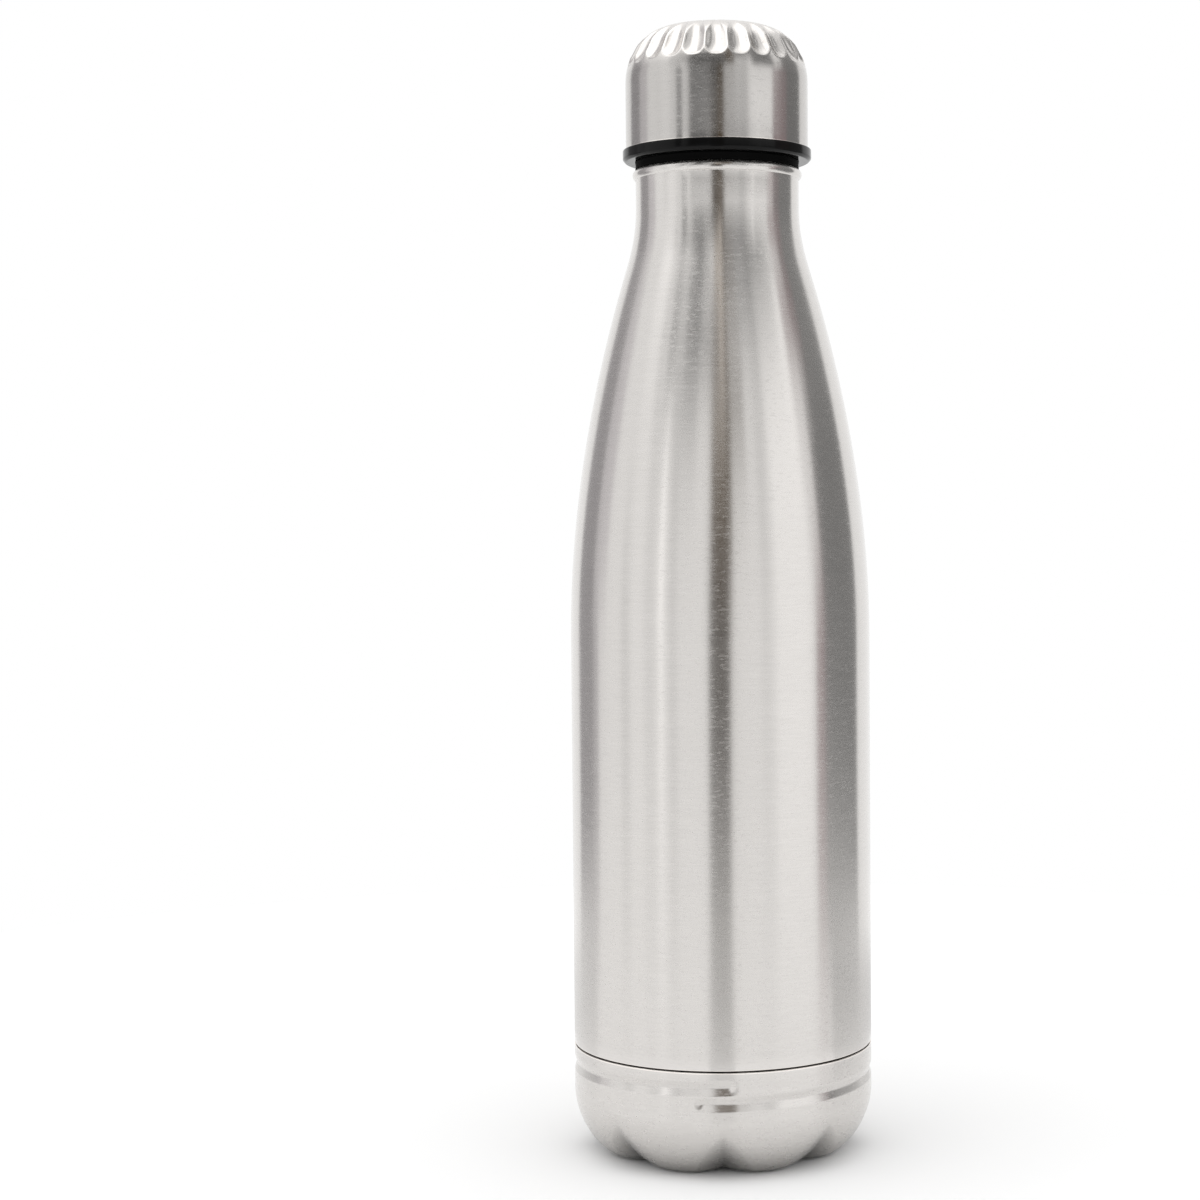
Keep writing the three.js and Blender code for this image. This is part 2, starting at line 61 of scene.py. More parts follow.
def bezier(start: Sequence[float], first: Sequence[float], second: Sequence[float],
           end: Sequence[float], steps: int) -> Points:
    """Points of a cubic curve: (1-t)^3 A + 3(1-t)^2 t B + 3(1-t) t^2 C + t^3 D, for even t.

    Args:
        start, first, second, end: the ends A and D and the handles B and C.
        steps: how many pieces the curve is cut into.

    Returns:
        An array of steps + 1 [radius, height] rows.
    """
    t = np.linspace(0.0, 1.0, steps + 1)[:, None]
    weights = np.hstack([(1 - t) ** 3, 3 * (1 - t) ** 2 * t, 3 * (1 - t) * t**2, t**3])
    return weights @ np.array([start, first, second, end], float)


def arc(centre: Sequence[float], radius: float, start: float, end: float, steps: int) -> Points:
    """Points of a circle: centre + radius (cos a, sin a), for a between two angles in radians."""
    angle = np.linspace(start, end, steps + 1)
    return np.column_stack([centre[0] + radius * np.cos(angle), centre[1] + radius * np.sin(angle)])


def inset(line: Points, thickness: float) -> Points:
    """Moves a line to the left of its direction: each point goes square to the mean direction of its two
    neighbouring steps, by thickness divided by the cosine of half the bend."""
    step = np.diff(line, axis=0)
    step /= np.linalg.norm(step, axis=1)[:, None]
    before, after = np.vstack([step[:1], step]), np.vstack([step, step[-1:]])
    middle = before + after
    middle /= np.linalg.norm(middle, axis=1)[:, None]
    reach = thickness / np.sum(middle * before, axis=1)
    return line + reach[:, None] * np.column_stack([-middle[:, 1], middle[:, 0]])


def lining(*lines: Points | Sequence) -> Points:
    """The inside of a sheet of steel whose outside runs along these lines, in the other direction."""
    return inset(np.vstack(lines), SHEET)[::-1]


@dataclass(frozen=True)
class Stretch:
    """One run of an outline that goes on from the last point of the run before it."""

    points: Points | Sequence
    ease: float = 0.0  # how far from its last corner that corner starts to round
    step: float = 2.0  # the longest distance between two rows of the mesh
    finish: int = 0  # which of the piece's materials it shows


def bends(*rows: Sequence[float]) -> list[Stretch]:
    """Stretches of one corner each, from (radius, height, ease, step) rows that may end early."""
    return [Stretch([row[:2]], *row[2:]) for row in rows]


class Outline:
    """The closed section of a turned piece, with its outside to the right of its direction.

    Attributes:
        line: the rows' [radius, height] points.
        along: the distance of each row along the outline.
        edge: 1 on a rounded corner, falling off to 0 beside it.
        finish: the material of the band that ends at each row, without the first.
    """

    EASE_STEPS = 5  # parts of a rounded corner
    EDGE_REACH = 0.35  # how soon the edge falls off beside it
    SAME = 1e-6  # points nearer than this are one

    def __init__(self, stretches: Sequence[Stretch]) -> None:
        """Joins the stretches, rounds their corners and cuts long steps into even parts."""
        counts = [len(s.points) for s in stretches]
        corners = np.vstack([np.array(s.points, float) for s in stretches])
        owner = np.repeat(np.arange(len(stretches)), counts)
        ease = np.zeros(len(corners))
        ease[np.cumsum(counts) - 1] = [s.ease for s in stretches]
        self.closed = bool(np.allclose(corners[0], corners[-1]))
        if self.closed:
            corners, owner, ease = corners[1:], owner[1:], ease[1:]
        line, owner, soft = self._eased(corners, owner, ease)
        if self.closed:
            line, owner, soft = (np.concatenate([a[-1:], a]) for a in (line, owner, soft))
        self.line, segment = self._cut(line, owner, np.array([s.step for s in stretches]))
        self.finish = np.array([s.finish for s in stretches])[owner[1:]][segment]
        lengths = np.hypot(*np.diff(self.line, axis=0).T)
        self.along = np.concatenate([[0.0], np.cumsum(lengths)])
        self.edge = self._edges(line[soft])

    def _eased(self, corners: Points, owner: Points, ease: Points) -> tuple[Points, Points, Points]:
        """Rounds corners with (1-u)^2 A + 2u(1-u) P + u^2 B, where A and B lie on the two sides of P."""
        before, after = np.roll(corners, 1, axis=0) - corners, np.roll(corners, -1, axis=0) - corners
        reach = [np.linalg.norm(side, axis=1) for side in (before, after)]
        back = np.minimum(ease, np.minimum(*reach) * 0.5)[:, None, None]
        u = np.linspace(0.0, 1.0, self.EASE_STEPS + 1)[None, :, None]
        first = (before / np.maximum(reach[0], 1e-9)[:, None])[:, None]
        second = (after / np.maximum(reach[1], 1e-9)[:, None])[:, None]
        points = corners[:, None] + back * ((1 - u) ** 2 * first + u**2 * second)
        points = points.reshape(-1, 2)
        owner, soft = np.repeat(owner, self.EASE_STEPS + 1), np.repeat(ease > 0, self.EASE_STEPS + 1)
        kept = np.concatenate([[True], np.hypot(*np.diff(points, axis=0).T) > self.SAME])
        return points[kept], owner[kept], soft[kept]

    @staticmethod
    def _cut(line: Points, owner: Points, longest: Points) -> Pair:
        """Cuts each step into equal parts no longer than its stretch allows."""
        steps = np.diff(line, axis=0)
        counts = np.maximum(1, np.ceil(np.hypot(*steps.T) / longest[owner[1:]])).astype(int)
        segment = np.repeat(np.arange(len(counts)), counts)
        part = np.arange(counts.sum()) - np.repeat(np.cumsum(counts) - counts, counts) + 1
        points = line[segment] + steps[segment] * (part / counts[segment])[:, None]
        return np.vstack([line[:1], points]), segment

    def _edges(self, corners: Points) -> Points:
        """Falls off with distance d from the nearest rounded corner as exp(-d / reach)."""
        away = np.linalg.norm(self.line[:, None] - corners[None], axis=2).min(axis=1)
        return np.exp(-away / self.EDGE_REACH)


# -------------------- forms pressed into a turned surface


def eased_step(share: Points) -> Points:
    """3s^2 - 2s^3 for s from 0 to 1, and flat outside."""
    s = np.clip(share, 0.0, 1.0)
    return s * s * (3 - 2 * s)


@dataclass(frozen=True)
class ScrewRidge:
    """Raises a ridge of about one turn: rise cos^2 across it, along a line that climbs LEAD in a turn.

    A ridge that is longer than a turn overlaps its own start, so each place is tried a turn before and
    a turn after as well, and the highest counts.
    """

    middle: float
    rise: float
    inner: float = 0.0  # only walls between these two radii carry the ridge
    outer: float = 1000.0
    half_width: float = 1.0
    start: float = 0.04
    end: float = 0.96
    fade: float = 0.06

    def __call__(self, turn: Points, radius: Points, height: Points) -> Pair:
        """The radii and heights with the ridge added to the radii."""
        past = turn[None] + np.array([-1.0, 0.0, 1.0])[:, None, None]
        above = height - self.middle - LEAD * (past - 0.5)
        ends = np.minimum(past - self.start, self.end - past) / self.fade
        lift = self.rise * (eased_step(ends) * self.profile(above)).max(axis=0)
        carried = (radius > self.inner) & (radius < self.outer)
        return radius + np.where(carried, lift, 0.0), height

    def profile(self, above: Points) -> Points:
        """The share of the rise at a height above the ridge's line: cos^2 across its width."""
        return np.cos(np.pi / 2 * np.clip(above / self.half_width, -1, 1)) ** 2


@dataclass(frozen=True)
class RolledGroove(ScrewRidge):
    """A groove that sinks evenly up a slope and comes back out over a ledge above it."""

    ledge: float = 2.0

    def profile(self, above: Points) -> Points:
        """Rises in a straight line over the width, then falls as 1 - (3s^2 - 2s^3) over the ledge."""
        slope = np.clip(above / self.half_width / 2 + 0.5, 0, 1)
        return slope * (1 - eased_step((above - self.half_width) / self.ledge))


@dataclass(frozen=True)
class Lobes:
    """Presses the valleys between the feet: depth d^growth (1 - sin(pi/2 a)), for d from 0 at the top of a
    valley to 1 at the feet, and a from 0 in its crease to 1 at its side. It lifts the foot a little too."""

    count: int = 8
    top: float = 13.5
    depth: float = 3.0
    growth: float = 1.2
    rise: float = 0.25
    narrow: float = 7.0
    wide: float = 22.5
    foot_share: float = 0.15
    foot_radius: float = 25.5
    foot_inner: float = 21.5
    centre_radius: float = 8.0

    def __call__(self, turn: Points, radius: Points, height: Points) -> Pair:
        """The radii and heights with the valleys pressed in."""
        pitch = 360 / self.count
        angle = np.abs((turn * 360 + pitch / 2) % pitch - pitch / 2)
        down = np.where(radius < self.foot_radius, 1.0, np.clip(1 - height / self.top, 0, 1))
        half = self.narrow + (self.wide - self.narrow) * down
        share = 1 - np.sin(np.pi / 2 * np.minimum(1, angle / half))
        fade = eased_step((radius - self.centre_radius) / (self.foot_inner - self.centre_radius))
        depth = self.depth * down**self.growth * fade
        lifted = np.maximum(0, share - self.foot_share) / (1 - self.foot_share)
        return radius - depth * share, height + depth * down * self.rise * lifted


@dataclass(frozen=True)
class Flutes:
    """Cuts scallops round the dome: depth (sin(pi u^lean) - a^2) where it is above 0, for u up the dome
    and a from -1 to 1 across a flute. The cut tilts from level at the foot towards steep at the top, and
    runs out over the edge of the flat top."""

    count: int = 24
    start: float = 252.6
    top: float = 262.0
    flat_radius: float = 9.0
    run_out: float = 2.5
    depth: float = 1.25
    tilt: float = 1.2
    lean: float = 0.7

    def __call__(self, turn: Points, radius: Points, height: Points) -> Pair:
        """The radii and heights with the flutes cut in."""
        up = np.clip((height - self.start) / (self.top - self.start), 0, 1)
        across = np.abs((turn * self.count + 0.5) % 1 - 0.5) * 2
        depth = self.depth * np.maximum(0, np.sin(np.pi * up**self.lean) - across**2)
        depth = depth * eased_step((radius - self.flat_radius) / self.run_out + 1)
        return radius - depth * np.cos(up * self.tilt), height - depth * np.sin(up * self.tilt)


# -------------------- meshes


def link(name: str, data: bpy.types.ID) -> bpy.types.Object:
    """Makes an object of that name and puts it in the scene."""
    made = bpy.data.objects.new(name, data)
    bpy.context.scene.collection.objects.link(made)
    return made


@dataclass(frozen=True)
class Turned:
    """A piece turned about Z: the point at turn t and row i is (r sin 2 pi t, -r cos 2 pi t, h)."""

    name: str
    outline: Outline
    columns: int
    rules: tuple[Rule, ...] = ()

    def grid(self) -> Pair:
        """Returns the rows x columns x 3 points in metres after every pressing rule, and how far the rules
        moved each point, in mm."""
        line = self.outline.line[:-1] if self.outline.closed else self.outline.line
        radius, height = (np.repeat(line[:, k : k + 1], self.columns, axis=1) for k in (0, 1))
        turn = np.broadcast_to(np.arange(self.columns)[None, :] / self.columns, radius.shape)
        before = radius, height
        for rule in self.rules:
            radius, height = rule(turn, radius, height)
        pressed = np.hypot(radius - before[0], height - before[1])
        angle = 2 * np.pi * turn
        return np.stack([radius * np.sin(angle), -radius * np.cos(angle), height], axis=2) * MM, pressed

    def normals(self, grid: Points) -> Points:
        """Outward directions: the sum of the cross products of the diagonals of the faces round a point, and
        straight up or down where an end is on the axis."""
        right, above = np.roll(grid, -1, axis=1), np.roll(grid, -1, axis=0)
        face = np.cross(np.roll(right, -1, axis=0) - grid, above - right)
        if not self.outline.closed:
            face[-1] = 0.0
        total = face + np.roll(face, 1, axis=1)
        total = total + np.roll(total, 1, axis=0)
        total /= np.maximum(np.linalg.norm(total, axis=2), 1e-20)[:, :, None]
        if not self.outline.closed:
            up = -1.0 if grid[-1, 0, 2] < grid[0, 0, 2] else 1.0
            total[0], total[-1] = (0, 0, -up), (0, 0, up)
        return total

    def build(self) -> bpy.types.Object:
        """Makes the mesh: four-sided faces between rows. An end on the axis is one point, and the faces that
        meet it lose a corner."""
        (grid, pressed), closed = self.grid(), self.outline.closed
        rows, columns = grid.shape[:2]
        index = np.arange(rows * columns).reshape(rows, columns)
        if not closed:
            index[0], index[-1] = index[0, 0], index[-1, 0]
        row = np.arange(rows if closed else rows - 1)
        low, high = index[row], index[(row + 1) % rows]
        quads = np.stack([low, np.roll(low, -1, 1), np.roll(high, -1, 1), high], axis=2)
        levels = np.broadcast_to(np.array([0, 0, 1, 1]), quads.shape) + row[:, None, None]
        real = quads != np.roll(quads, -1, axis=2)
        kept, used = np.unique(quads[real], return_inverse=True)
        sizes = real.sum(axis=2).ravel()
        faces = [face.tolist() for face in np.split(used, np.cumsum(sizes)[:-1])]
        mesh = bpy.data.meshes.new(self.name)
        mesh.from_pydata(grid.reshape(-1, 3)[kept].tolist(), [], faces)
        mesh.polygons.foreach_set("material_index", np.repeat(self.outline.finish, columns).astype(np.int32))
        mesh.shade_smooth()
        for name, domain, values in (
            ("along", "CORNER", (self.outline.along * MM)[levels[real]]),
            ("edge", "CORNER", self.outline.edge[levels[real]]),
            ("pressed", "POINT", pressed.ravel()[kept]),
        ):
            layer = mesh.attributes.new(name, "FLOAT", domain)
            layer.data.foreach_set("value", values.astype(np.float32))
        mesh.normals_split_custom_set_from_vertices(self.normals(grid).reshape(-1, 3)[kept].tolist())
        log.info("%s: %d faces in %d rows", self.name, len(sizes), rows)
        return link(self.name, mesh)


# -------------------- materials


class Wire:
    """A value on its way through a material. Arithmetic on it adds Math nodes."""

    def __init__(self, shader: "Shader", socket: bpy.types.NodeSocket) -> None:
        """Keeps the material's Shader and the socket that gives the value."""
        self.shader, self.socket = shader, socket

    def __add__(self, other: "Wire | float") -> "Wire":
        """self + other"""
        return self.shader.math("ADD", self, other)

    __radd__ = __add__

    def __mul__(self, other: "Wire | float") -> "Wire":
        """self * other"""
        return self.shader.math("MULTIPLY", self, other)

    def __sub__(self, other: "Wire | float") -> "Wire":
        """self - other"""
        return self.shader.math("SUBTRACT", self, other)

    def __rsub__(self, other: float) -> "Wire":
        """other - self"""
        return self.shader.math("SUBTRACT", other, self)

    def __pow__(self, other: float) -> "Wire":
        """self to the power of other"""
        return self.shader.math("POWER", self, other)

    def clamped(self) -> "Wire":
        """self, held between 0 and 1"""
        return self.shader.math("ADD", self, 0.0, clamp=True)

    def above(self, level: float, gain: float) -> "Wire":
        """How far self is above a level, times a gain, held between 0 and 1"""
        return ((self - level) * gain).clamped()


class Shader:
    """A material under construction."""

    def __init__(self, name: str) -> None:
        """Starts an empty material of that name."""
        self.material = bpy.data.materials.new(name)
        self.material.use_nodes = True
        self.tree = self.material.node_tree
        self.tree.nodes.clear()
        place = self.node("ShaderNodeTexCoord").outputs["Object"]
        parts = self.node("ShaderNodeSeparateXYZ", sockets={"Vector": Wire(self, place)})
        self.x, self.y, self.z = (Wire(self, parts.outputs[k]) for k in range(3))

    def node(self, kind: str, settings: dict | None = None, sockets: dict | None = None) -> bpy.types.Node:
        """Adds one node.

        Args:
            kind: the node's type.
            settings: its properties, set first.
            sockets: the values, wires or whole nodes for its input sockets, by name or number. A node
                gives its first output.

        Returns:
            The new node.
        """
        made = self.tree.nodes.new(kind)
        for name, value in (settings or {}).items():
            setattr(made, name, value)
        for name, value in (sockets or {}).items():
            if isinstance(value, bpy.types.Node):
                self.tree.links.new(value.outputs[0], made.inputs[name])
            elif isinstance(value, Wire):
                self.tree.links.new(value.socket, made.inputs[name])
            else:
                made.inputs[name].default_value = value
        return made

    def math(self, operation: str, *values: Wire | float, clamp: bool = False) -> Wire:
        """One Math node."""
        settings = {"operation": operation, "use_clamp": clamp}
        return Wire(self, self.node("ShaderNodeMath", settings, dict(enumerate(values))).outputs[0])

    def attribute(self, name: str) -> Wire:
        """A value that the piece's mesh carries."""
        return Wire(self, self.node("ShaderNodeAttribute", {"attribute_name": name}).outputs["Fac"])

    def vector(self, x: Wire | float, y: Wire | float, z: Wire | float) -> Wire:
        """A vector from its three parts."""
        return Wire(self, self.node("ShaderNodeCombineXYZ", sockets={"X": x, "Y": y, "Z": z}).outputs[0])

    def scaled(self, size: float) -> Wire:
        """The place on the piece, counted in steps of that many mm."""
        scale = 1 / (size * MM)
        return self.vector(self.x * scale, self.y * scale, self.z * scale)

    def noise(self, vector: Wire, detail: float) -> Wire:
        """Smooth noise about 0.5 with features one unit apart."""
        sockets = {"Vector": vector, "Scale": 1.0, "Detail": detail, "Roughness": 0.5}
        return Wire(self, self.node("ShaderNodeTexNoise", sockets=sockets).outputs["Fac"])

    def lines(self, length: float, pitch: float, detail: float = 2.0) -> Wire:
        """Noise drawn out round the axis: marks of that length, that pitch apart along the outline, in mm."""
        around, across = 1 / (length * MM), 1 / (pitch * MM)
        vector = self.vector(self.x * around, self.y * around, self.attribute("along") * across)
        return self.noise(vector, detail)

    def grain(self, size: float, detail: float = 2.0) -> Wire:
        """Noise of the same size in every direction, in mm."""
        return self.noise(self.scaled(size), detail)

    def mix(self, factor: Wire, first: Wire | Colour, second: Wire | Colour) -> Wire:
        """A colour between two colours."""
        made = self.node("ShaderNodeMix", {"data_type": "RGBA"}, {0: factor, 6: first, 7: second})
        return Wire(self, made.outputs[2])

    def bump(self, height: Wire, distance: float) -> Wire:
        """A normal that follows a height, in mm."""
        sockets = {"Strength": 1.0, "Distance": distance * MM, "Height": height}
        return Wire(self, self.node("ShaderNodeBump", sockets=sockets).outputs["Normal"])

    def finish(self, kind: str, sockets: dict) -> Material:
        """Ends the material in a shader node of that type with these sockets, and returns it."""
        self.node("ShaderNodeOutputMaterial", sockets={"Surface": self.node(kind, sockets=sockets)})
        return self.material

    def surface(self, sockets: dict) -> Material:
        """Ends the material in a Principled shader with these sockets, and returns it."""
        return self.finish("ShaderNodeBsdfPrincipled", sockets)


def grey(value: float, warmth: float = 0.0, rose: float = 0.0) -> Colour:
    """A grey that is redder and less blue by one share of its value, and redder and bluer by another."""
    return (value * (1 + warmth + rose), value, value * (1 - warmth + rose), 1.0)


@dataclass(frozen=True)
class Steel:
    """Stainless steel with lines that run round the bottle, as a belt or a lathe leaves them."""

    name: str
    tone: float = 0.66
    spread: float = 0.05  # how much the tone changes from line to line, as a share
    warmth: float = 0.034
    roughness: float = 0.235
    anisotropy: float = 0.85
    line_length: float = 5.0
    line_pitch: float = 0.4
    patch: float = 38.0  # size in mm of the cloudy patches
    depth: float = 0.0015  # of the lines, in mm
    torn: float = 0.06  # how much rougher the short torn marks are
    polish: float = 0.10  # how much smoother the edges are
    hollow_painted_light_from: float = 0.0  # depth in mm at which a pressed hollow starts to take its painted tone
    hollow_painted_light_depth: float = 0.0  # depth in mm at which it has its full painted tone, or 0 for no change
    # the painted tone: darker than the steel it is painted shade, lighter it is a painted highlight
    hollow_painted_light_tone: float = 0.22
    painted_shade_height: float = 0.0  # painted shade: up to this height in mm the steel darkens towards the feet
    painted_highlight_height: float = 0.0  # painted highlight: above this height in mm the steel takes the hollows' painted tone, lighter as if lit from above
    painted_highlight_band: float = 3.0  # the height in mm over which the painted highlight fades in

    def material(self) -> Material:
        """Fine and broad lines set the tone, roughness and height; short torn marks scatter the light, a few
        longer scratches are darker, and the edges are worn smooth. Where a piece asks for them, a painted
        tone goes into the pressed hollows (painted shade on the base, a painted highlight on the cap),
        painted shade towards the feet and a painted highlight over the top."""
        s = Shader(self.name)
        fine = s.lines(self.line_length, self.line_pitch, detail=3.0) - 0.5
        band = s.lines(self.line_length * 9, self.line_pitch * 8) - 0.5
        patch = s.grain(self.patch) - 0.5
        torn = s.lines(self.line_length * 0.3, self.line_pitch * 1.2, detail=1.0).above(0.56, gain=7.0)
        scratch = s.lines(self.line_length, self.line_pitch * 0.9, detail=1.0).above(0.74, gain=9.0)
        edge = s.attribute("edge")
        share = (0.5 + fine * 1.3 + band * 0.35 + patch * 0.4 - scratch * 0.1 + edge * 0.3).clamped()
        low, high = (grey(self.tone * (1 + side * self.spread), self.warmth) for side in (-1, 1))
        rough = self.roughness + torn * self.torn + fine * 0.06 + band * 0.03 + patch * 0.04
        height = fine + torn * 0.5
        colour, painted_tone = s.mix(share, low, high), grey(self.hollow_painted_light_tone, self.warmth)
        # the pressed hollows take the painted tone: painted shade in the base's valleys, a painted highlight
        # in the cap's flutes
        if self.hollow_painted_light_depth:
            gain = 1 / (self.hollow_painted_light_depth - self.hollow_painted_light_from)
            hollow = s.attribute("pressed").above(self.hollow_painted_light_from, gain)
            colour = s.mix(hollow**0.7, colour, painted_tone)
        # painted shade towards the feet, stronger the lower the point
        if self.painted_shade_height:
            foot = (1.0 - s.z * (1 / (self.painted_shade_height * MM))).clamped()
            colour = s.mix(foot * foot * 0.7, colour, painted_tone)
        # painted highlight over the top, above a height
        if self.painted_highlight_height:
            start = self.painted_highlight_height - self.painted_highlight_band / 2
            colour = s.mix(s.z.above(start * MM, 1 / (self.painted_highlight_band * MM)), colour, painted_tone)
        return s.surface({
            "Base Color": colour,
            "Metallic": 1.0,
            "Roughness": rough - edge * self.polish,
            "Anisotropic": self.anisotropy,
            "Anisotropic Rotation": 0.25,
            "Normal": s.bump(height, self.depth),
        })


@dataclass(frozen=True)
class Moulded:
    """Plastic or rubber out of a mould: even colour, fine grain, faint flow marks and a little dust."""

    name: str
    tone: float
    roughness: float
    specular: float = 0.35
    grain: float = 0.12  # size of the grain in mm
    flow: float = 9.0  # size of the flow marks
    speck: float = 0.5  # size of the specks of dust
    depth: float = 0.004
    dust: float = 0.02

    def material(self) -> Material:
        """Grain and flow marks set the roughness and height; dust lightens a few specks."""
        s = Shader(self.name)
        grain = s.grain(self.grain, detail=3.0) - 0.5
        flow = s.grain(self.flow) - 0.5
        speck = s.grain(self.speck, detail=1.0).above(0.7, gain=8.0)
        share = (0.3 + flow * 0.8 + speck * self.dust * 20 + s.attribute("edge") * 0.25).clamped()
        return s.surface({
            "Base Color": s.mix(share, grey(self.tone), grey(self.tone + self.dust)),
            "Metallic": 0.0,
            "Roughness": self.roughness + grain * 0.12 + flow * 0.08 + speck * 0.2,
            "Specular IOR Level": self.specular,
            "Normal": s.bump(grain + flow * 0.5, self.depth),
        })


@dataclass(frozen=True)
class Foam:
    """White foam poured as an insulation: closed cells with thin walls."""

    name: str = "insulating_foam"
    cell: float = 0.8  # size in mm of the cells
    tint: float = 6.0  # size in mm of the paler patches
    depth: float = 0.15  # of the cells, in mm

    def material(self) -> Material:
        """Distance to the nearest cell's middle gives the height and darkens the pits with painted shade."""
        s = Shader(self.name)
        sockets = {"Vector": s.scaled(self.cell), "Scale": 1.0}
        cells = Wire(s, s.node("ShaderNodeTexVoronoi", sockets=sockets).outputs["Distance"])
        share = (cells * 0.8 + s.grain(self.tint) * 0.4).clamped()
        return s.surface({
            "Base Color": s.mix(share, grey(0.62, 0.05), grey(0.84, 0.02)),
            "Metallic": 0.0,
            "Roughness": (0.85 + cells * 0.1).clamped(),
            "Normal": s.bump(cells, self.depth),
        })


@dataclass(frozen=True)
class SealGlass:
    """The dark solder glass that closes the pumping hole: smooth, with small bubbles."""

    name: str = "solder_glass"
    bubble: float = 0.5  # size in mm of the bubbles
    swirl: float = 2.0  # size in mm of the paler swirls
    depth: float = 0.03  # of the bubbles, in mm

    def material(self) -> Material:
        """Bubbles lift the surface and lighten it."""
        s = Shader(self.name)
        bubbles = s.grain(self.bubble, detail=1.0).above(0.6, gain=5.0)
        share = (s.grain(self.swirl) * 0.6 + bubbles * 0.5).clamped()
        return s.surface({
            "Base Color": s.mix(share, (0.02, 0.03, 0.03, 1), (0.09, 0.11, 0.12, 1)),
            "Metallic": 0.0,
            "Roughness": 0.12 + bubbles * 0.2,
            "Normal": s.bump(bubbles, self.depth),
        })


@dataclass(frozen=True)
class Sintered:
    """The pressed metal powder of the getter pill."""

    name: str = "getter_powder"
    powder: float = 0.15  # size in mm of the grains
    depth: float = 0.04  # of the grains, in mm

    def material(self) -> Material:
        """Powder grains set the tone, roughness and height."""
        s = Shader(self.name)
        powder = s.grain(self.powder, detail=4.0)
        return s.surface({
            "Base Color": s.mix(powder, grey(0.10, 0.03), grey(0.30, 0.04)),
            "Metallic": 0.8,
            "Roughness": (0.5 + powder * 0.3).clamped(),
            "Normal": s.bump(powder, self.depth),
        })


class Finishes:
    """Every material of the bottle, made once."""

    def __init__(self) -> None:
        """Makes the materials."""
        self.brushed = Steel("brushed_steel").material()
        # the base: painted shade in the lobes' valleys and over the lowest 14 mm
        self.base = Steel(
            "brushed_steel_base", hollow_painted_light_from=0.42, hollow_painted_light_depth=2.3, painted_shade_height=14.0
        ).material()
        # the cap: a painted highlight in the flutes and over the dome from 252.6 mm up
        self.cap = Steel(
            "brushed_steel_cap", tone=0.545, roughness=0.225, anisotropy=0.75, hollow_painted_light_depth=1.2,
            hollow_painted_light_tone=0.74, painted_highlight_height=252.6
        ).material()
        # the sheet's cut edges, and narrow outside bands under the cup's rim and above the cap's bottom, made
        # bright as a painted highlight
        self.rim = Steel(
            "cut_edge_and_painted_highlight_steel", tone=0.84, warmth=0.05, roughness=0.3, anisotropy=0.2, torn=0.03
        ).material()
        self.drawn = Steel(
            "drawn_steel", tone=0.6, roughness=0.36, anisotropy=0.35, line_length=7.0, line_pitch=0.9,
            depth=0.02, torn=0.1
        ).material()
        self.polished = Steel(
            "polished_steel", tone=0.7, spread=0.04, warmth=0.012, roughness=0.15, anisotropy=0.3,
            line_length=30.0, depth=0.005, torn=0.03, polish=0.03
        ).material()
        self.vessel = Steel(
            "vessel_steel", tone=0.64, spread=0.06, warmth=0.016, roughness=0.27, anisotropy=0.3,
            line_length=12.0, line_pitch=0.6, depth=0.01, torn=0.08
        ).material()
        self.plastic = Moulded("black_moulding", 0.002, 0.12, specular=0.13, dust=0.004).material()
        self.stem = Moulded("black_stem_moulding", 0.006, 0.3, specular=0.3, depth=0.006).material()
        self.rubber = Moulded(
            "black_rubber", 0.002, 0.6, specular=0.02, grain=0.2, depth=0.02, dust=0.003
        ).material()
        self.foam = Foam().material()
        self.glass = SealGlass().material()
        self.getter = Sintered().material()


# -------------------- the bottle's sub-assemblies


class Side(IntEnum):
    """The finishes round a sheet of steel, in the order of its materials."""

    BRUSHED = 0
    # cut edges, and narrow outside bands that are a painted highlight
    CUT_EDGE_AND_HIGHLIGHT = 1
    DRAWN = 2


def place(piece: Turned, body: str, node: str, slot: str, *materials: Material) -> None:
    """Builds a piece, dresses it, and lets it stand for its node on its body.

    Args:
        piece: the turned surface.
        body: the moving body that it rides on.
        node: the node that it stands for.
        slot: the record's material slot; not used.
        materials: its materials, by the numbers in its outline.
    """
    made = piece.build()
    for material in materials:
        made.data.materials.append(material)
    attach(made, body)
    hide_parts(node)


def dress_nodes(finishes: dict[str, Material]) -> None:
    """Gives frame nodes that keep their own shape a material each."""
    for name, material in finishes.items():
        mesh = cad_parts[name].data
        mesh.materials.clear()
        mesh.materials.append(material)
        log.info("%s: dressed in %s", name, material.name)


@dataclass(frozen=True)
class ShellForm:
    """The outside of the shell, which the shell and the vessel inside it share."""

    barrel_radius: float = 35.0
    seam: float = 25.5
    shoulder_start: float = 121.0
    lead_in: float = 42.0
    lead_out: float = 8.0
    slope: float = 0.295
    shoulder_end: float = 207.3
    fillet_reach: float = 2.0
    fillet_ease: float = 0.66
    neck_radius: float = 19.0
    neck_start: float = 220.0
    lip_height: float = 229.2
    lip_radius: float = 19.7
    lip_depth: float = 2.6
    steps: int = 72  # along the shoulder's long curve

    def shoulder(self) -> Points:
        """From the top of the straight barrel to the start of the neck: a long curve, then a fillet."""
        end = np.array([self.neck_radius + self.fillet_reach, self.shoulder_end])
        flank = bezier(
            [self.barrel_radius, self.shoulder_start],
            [self.barrel_radius, self.shoulder_start + self.lead_in],
            end + self.lead_out * np.array([self.slope, -1.0]), end, self.steps
        )
        bend = np.array([self.neck_radius, self.shoulder_end + self.fillet_reach / self.slope])
        top = np.array([self.neck_radius, self.neck_start])
        first, second = (point + self.fillet_ease * (bend - point) for point in (end, top))
        return np.vstack([flank, bezier(end, first, second, top, self.steps // 3)[1:]])

    def lip(self) -> Points:
        """The bead round the mouth: an arc from the neck's wall to its level top."""
        half = self.lip_depth / 2
        middle = self.lip_radius - half
        start = -math.acos((self.neck_radius - middle) / half)
        return arc([middle, self.lip_height - half], half, start, math.pi / 2, self.steps // 4)


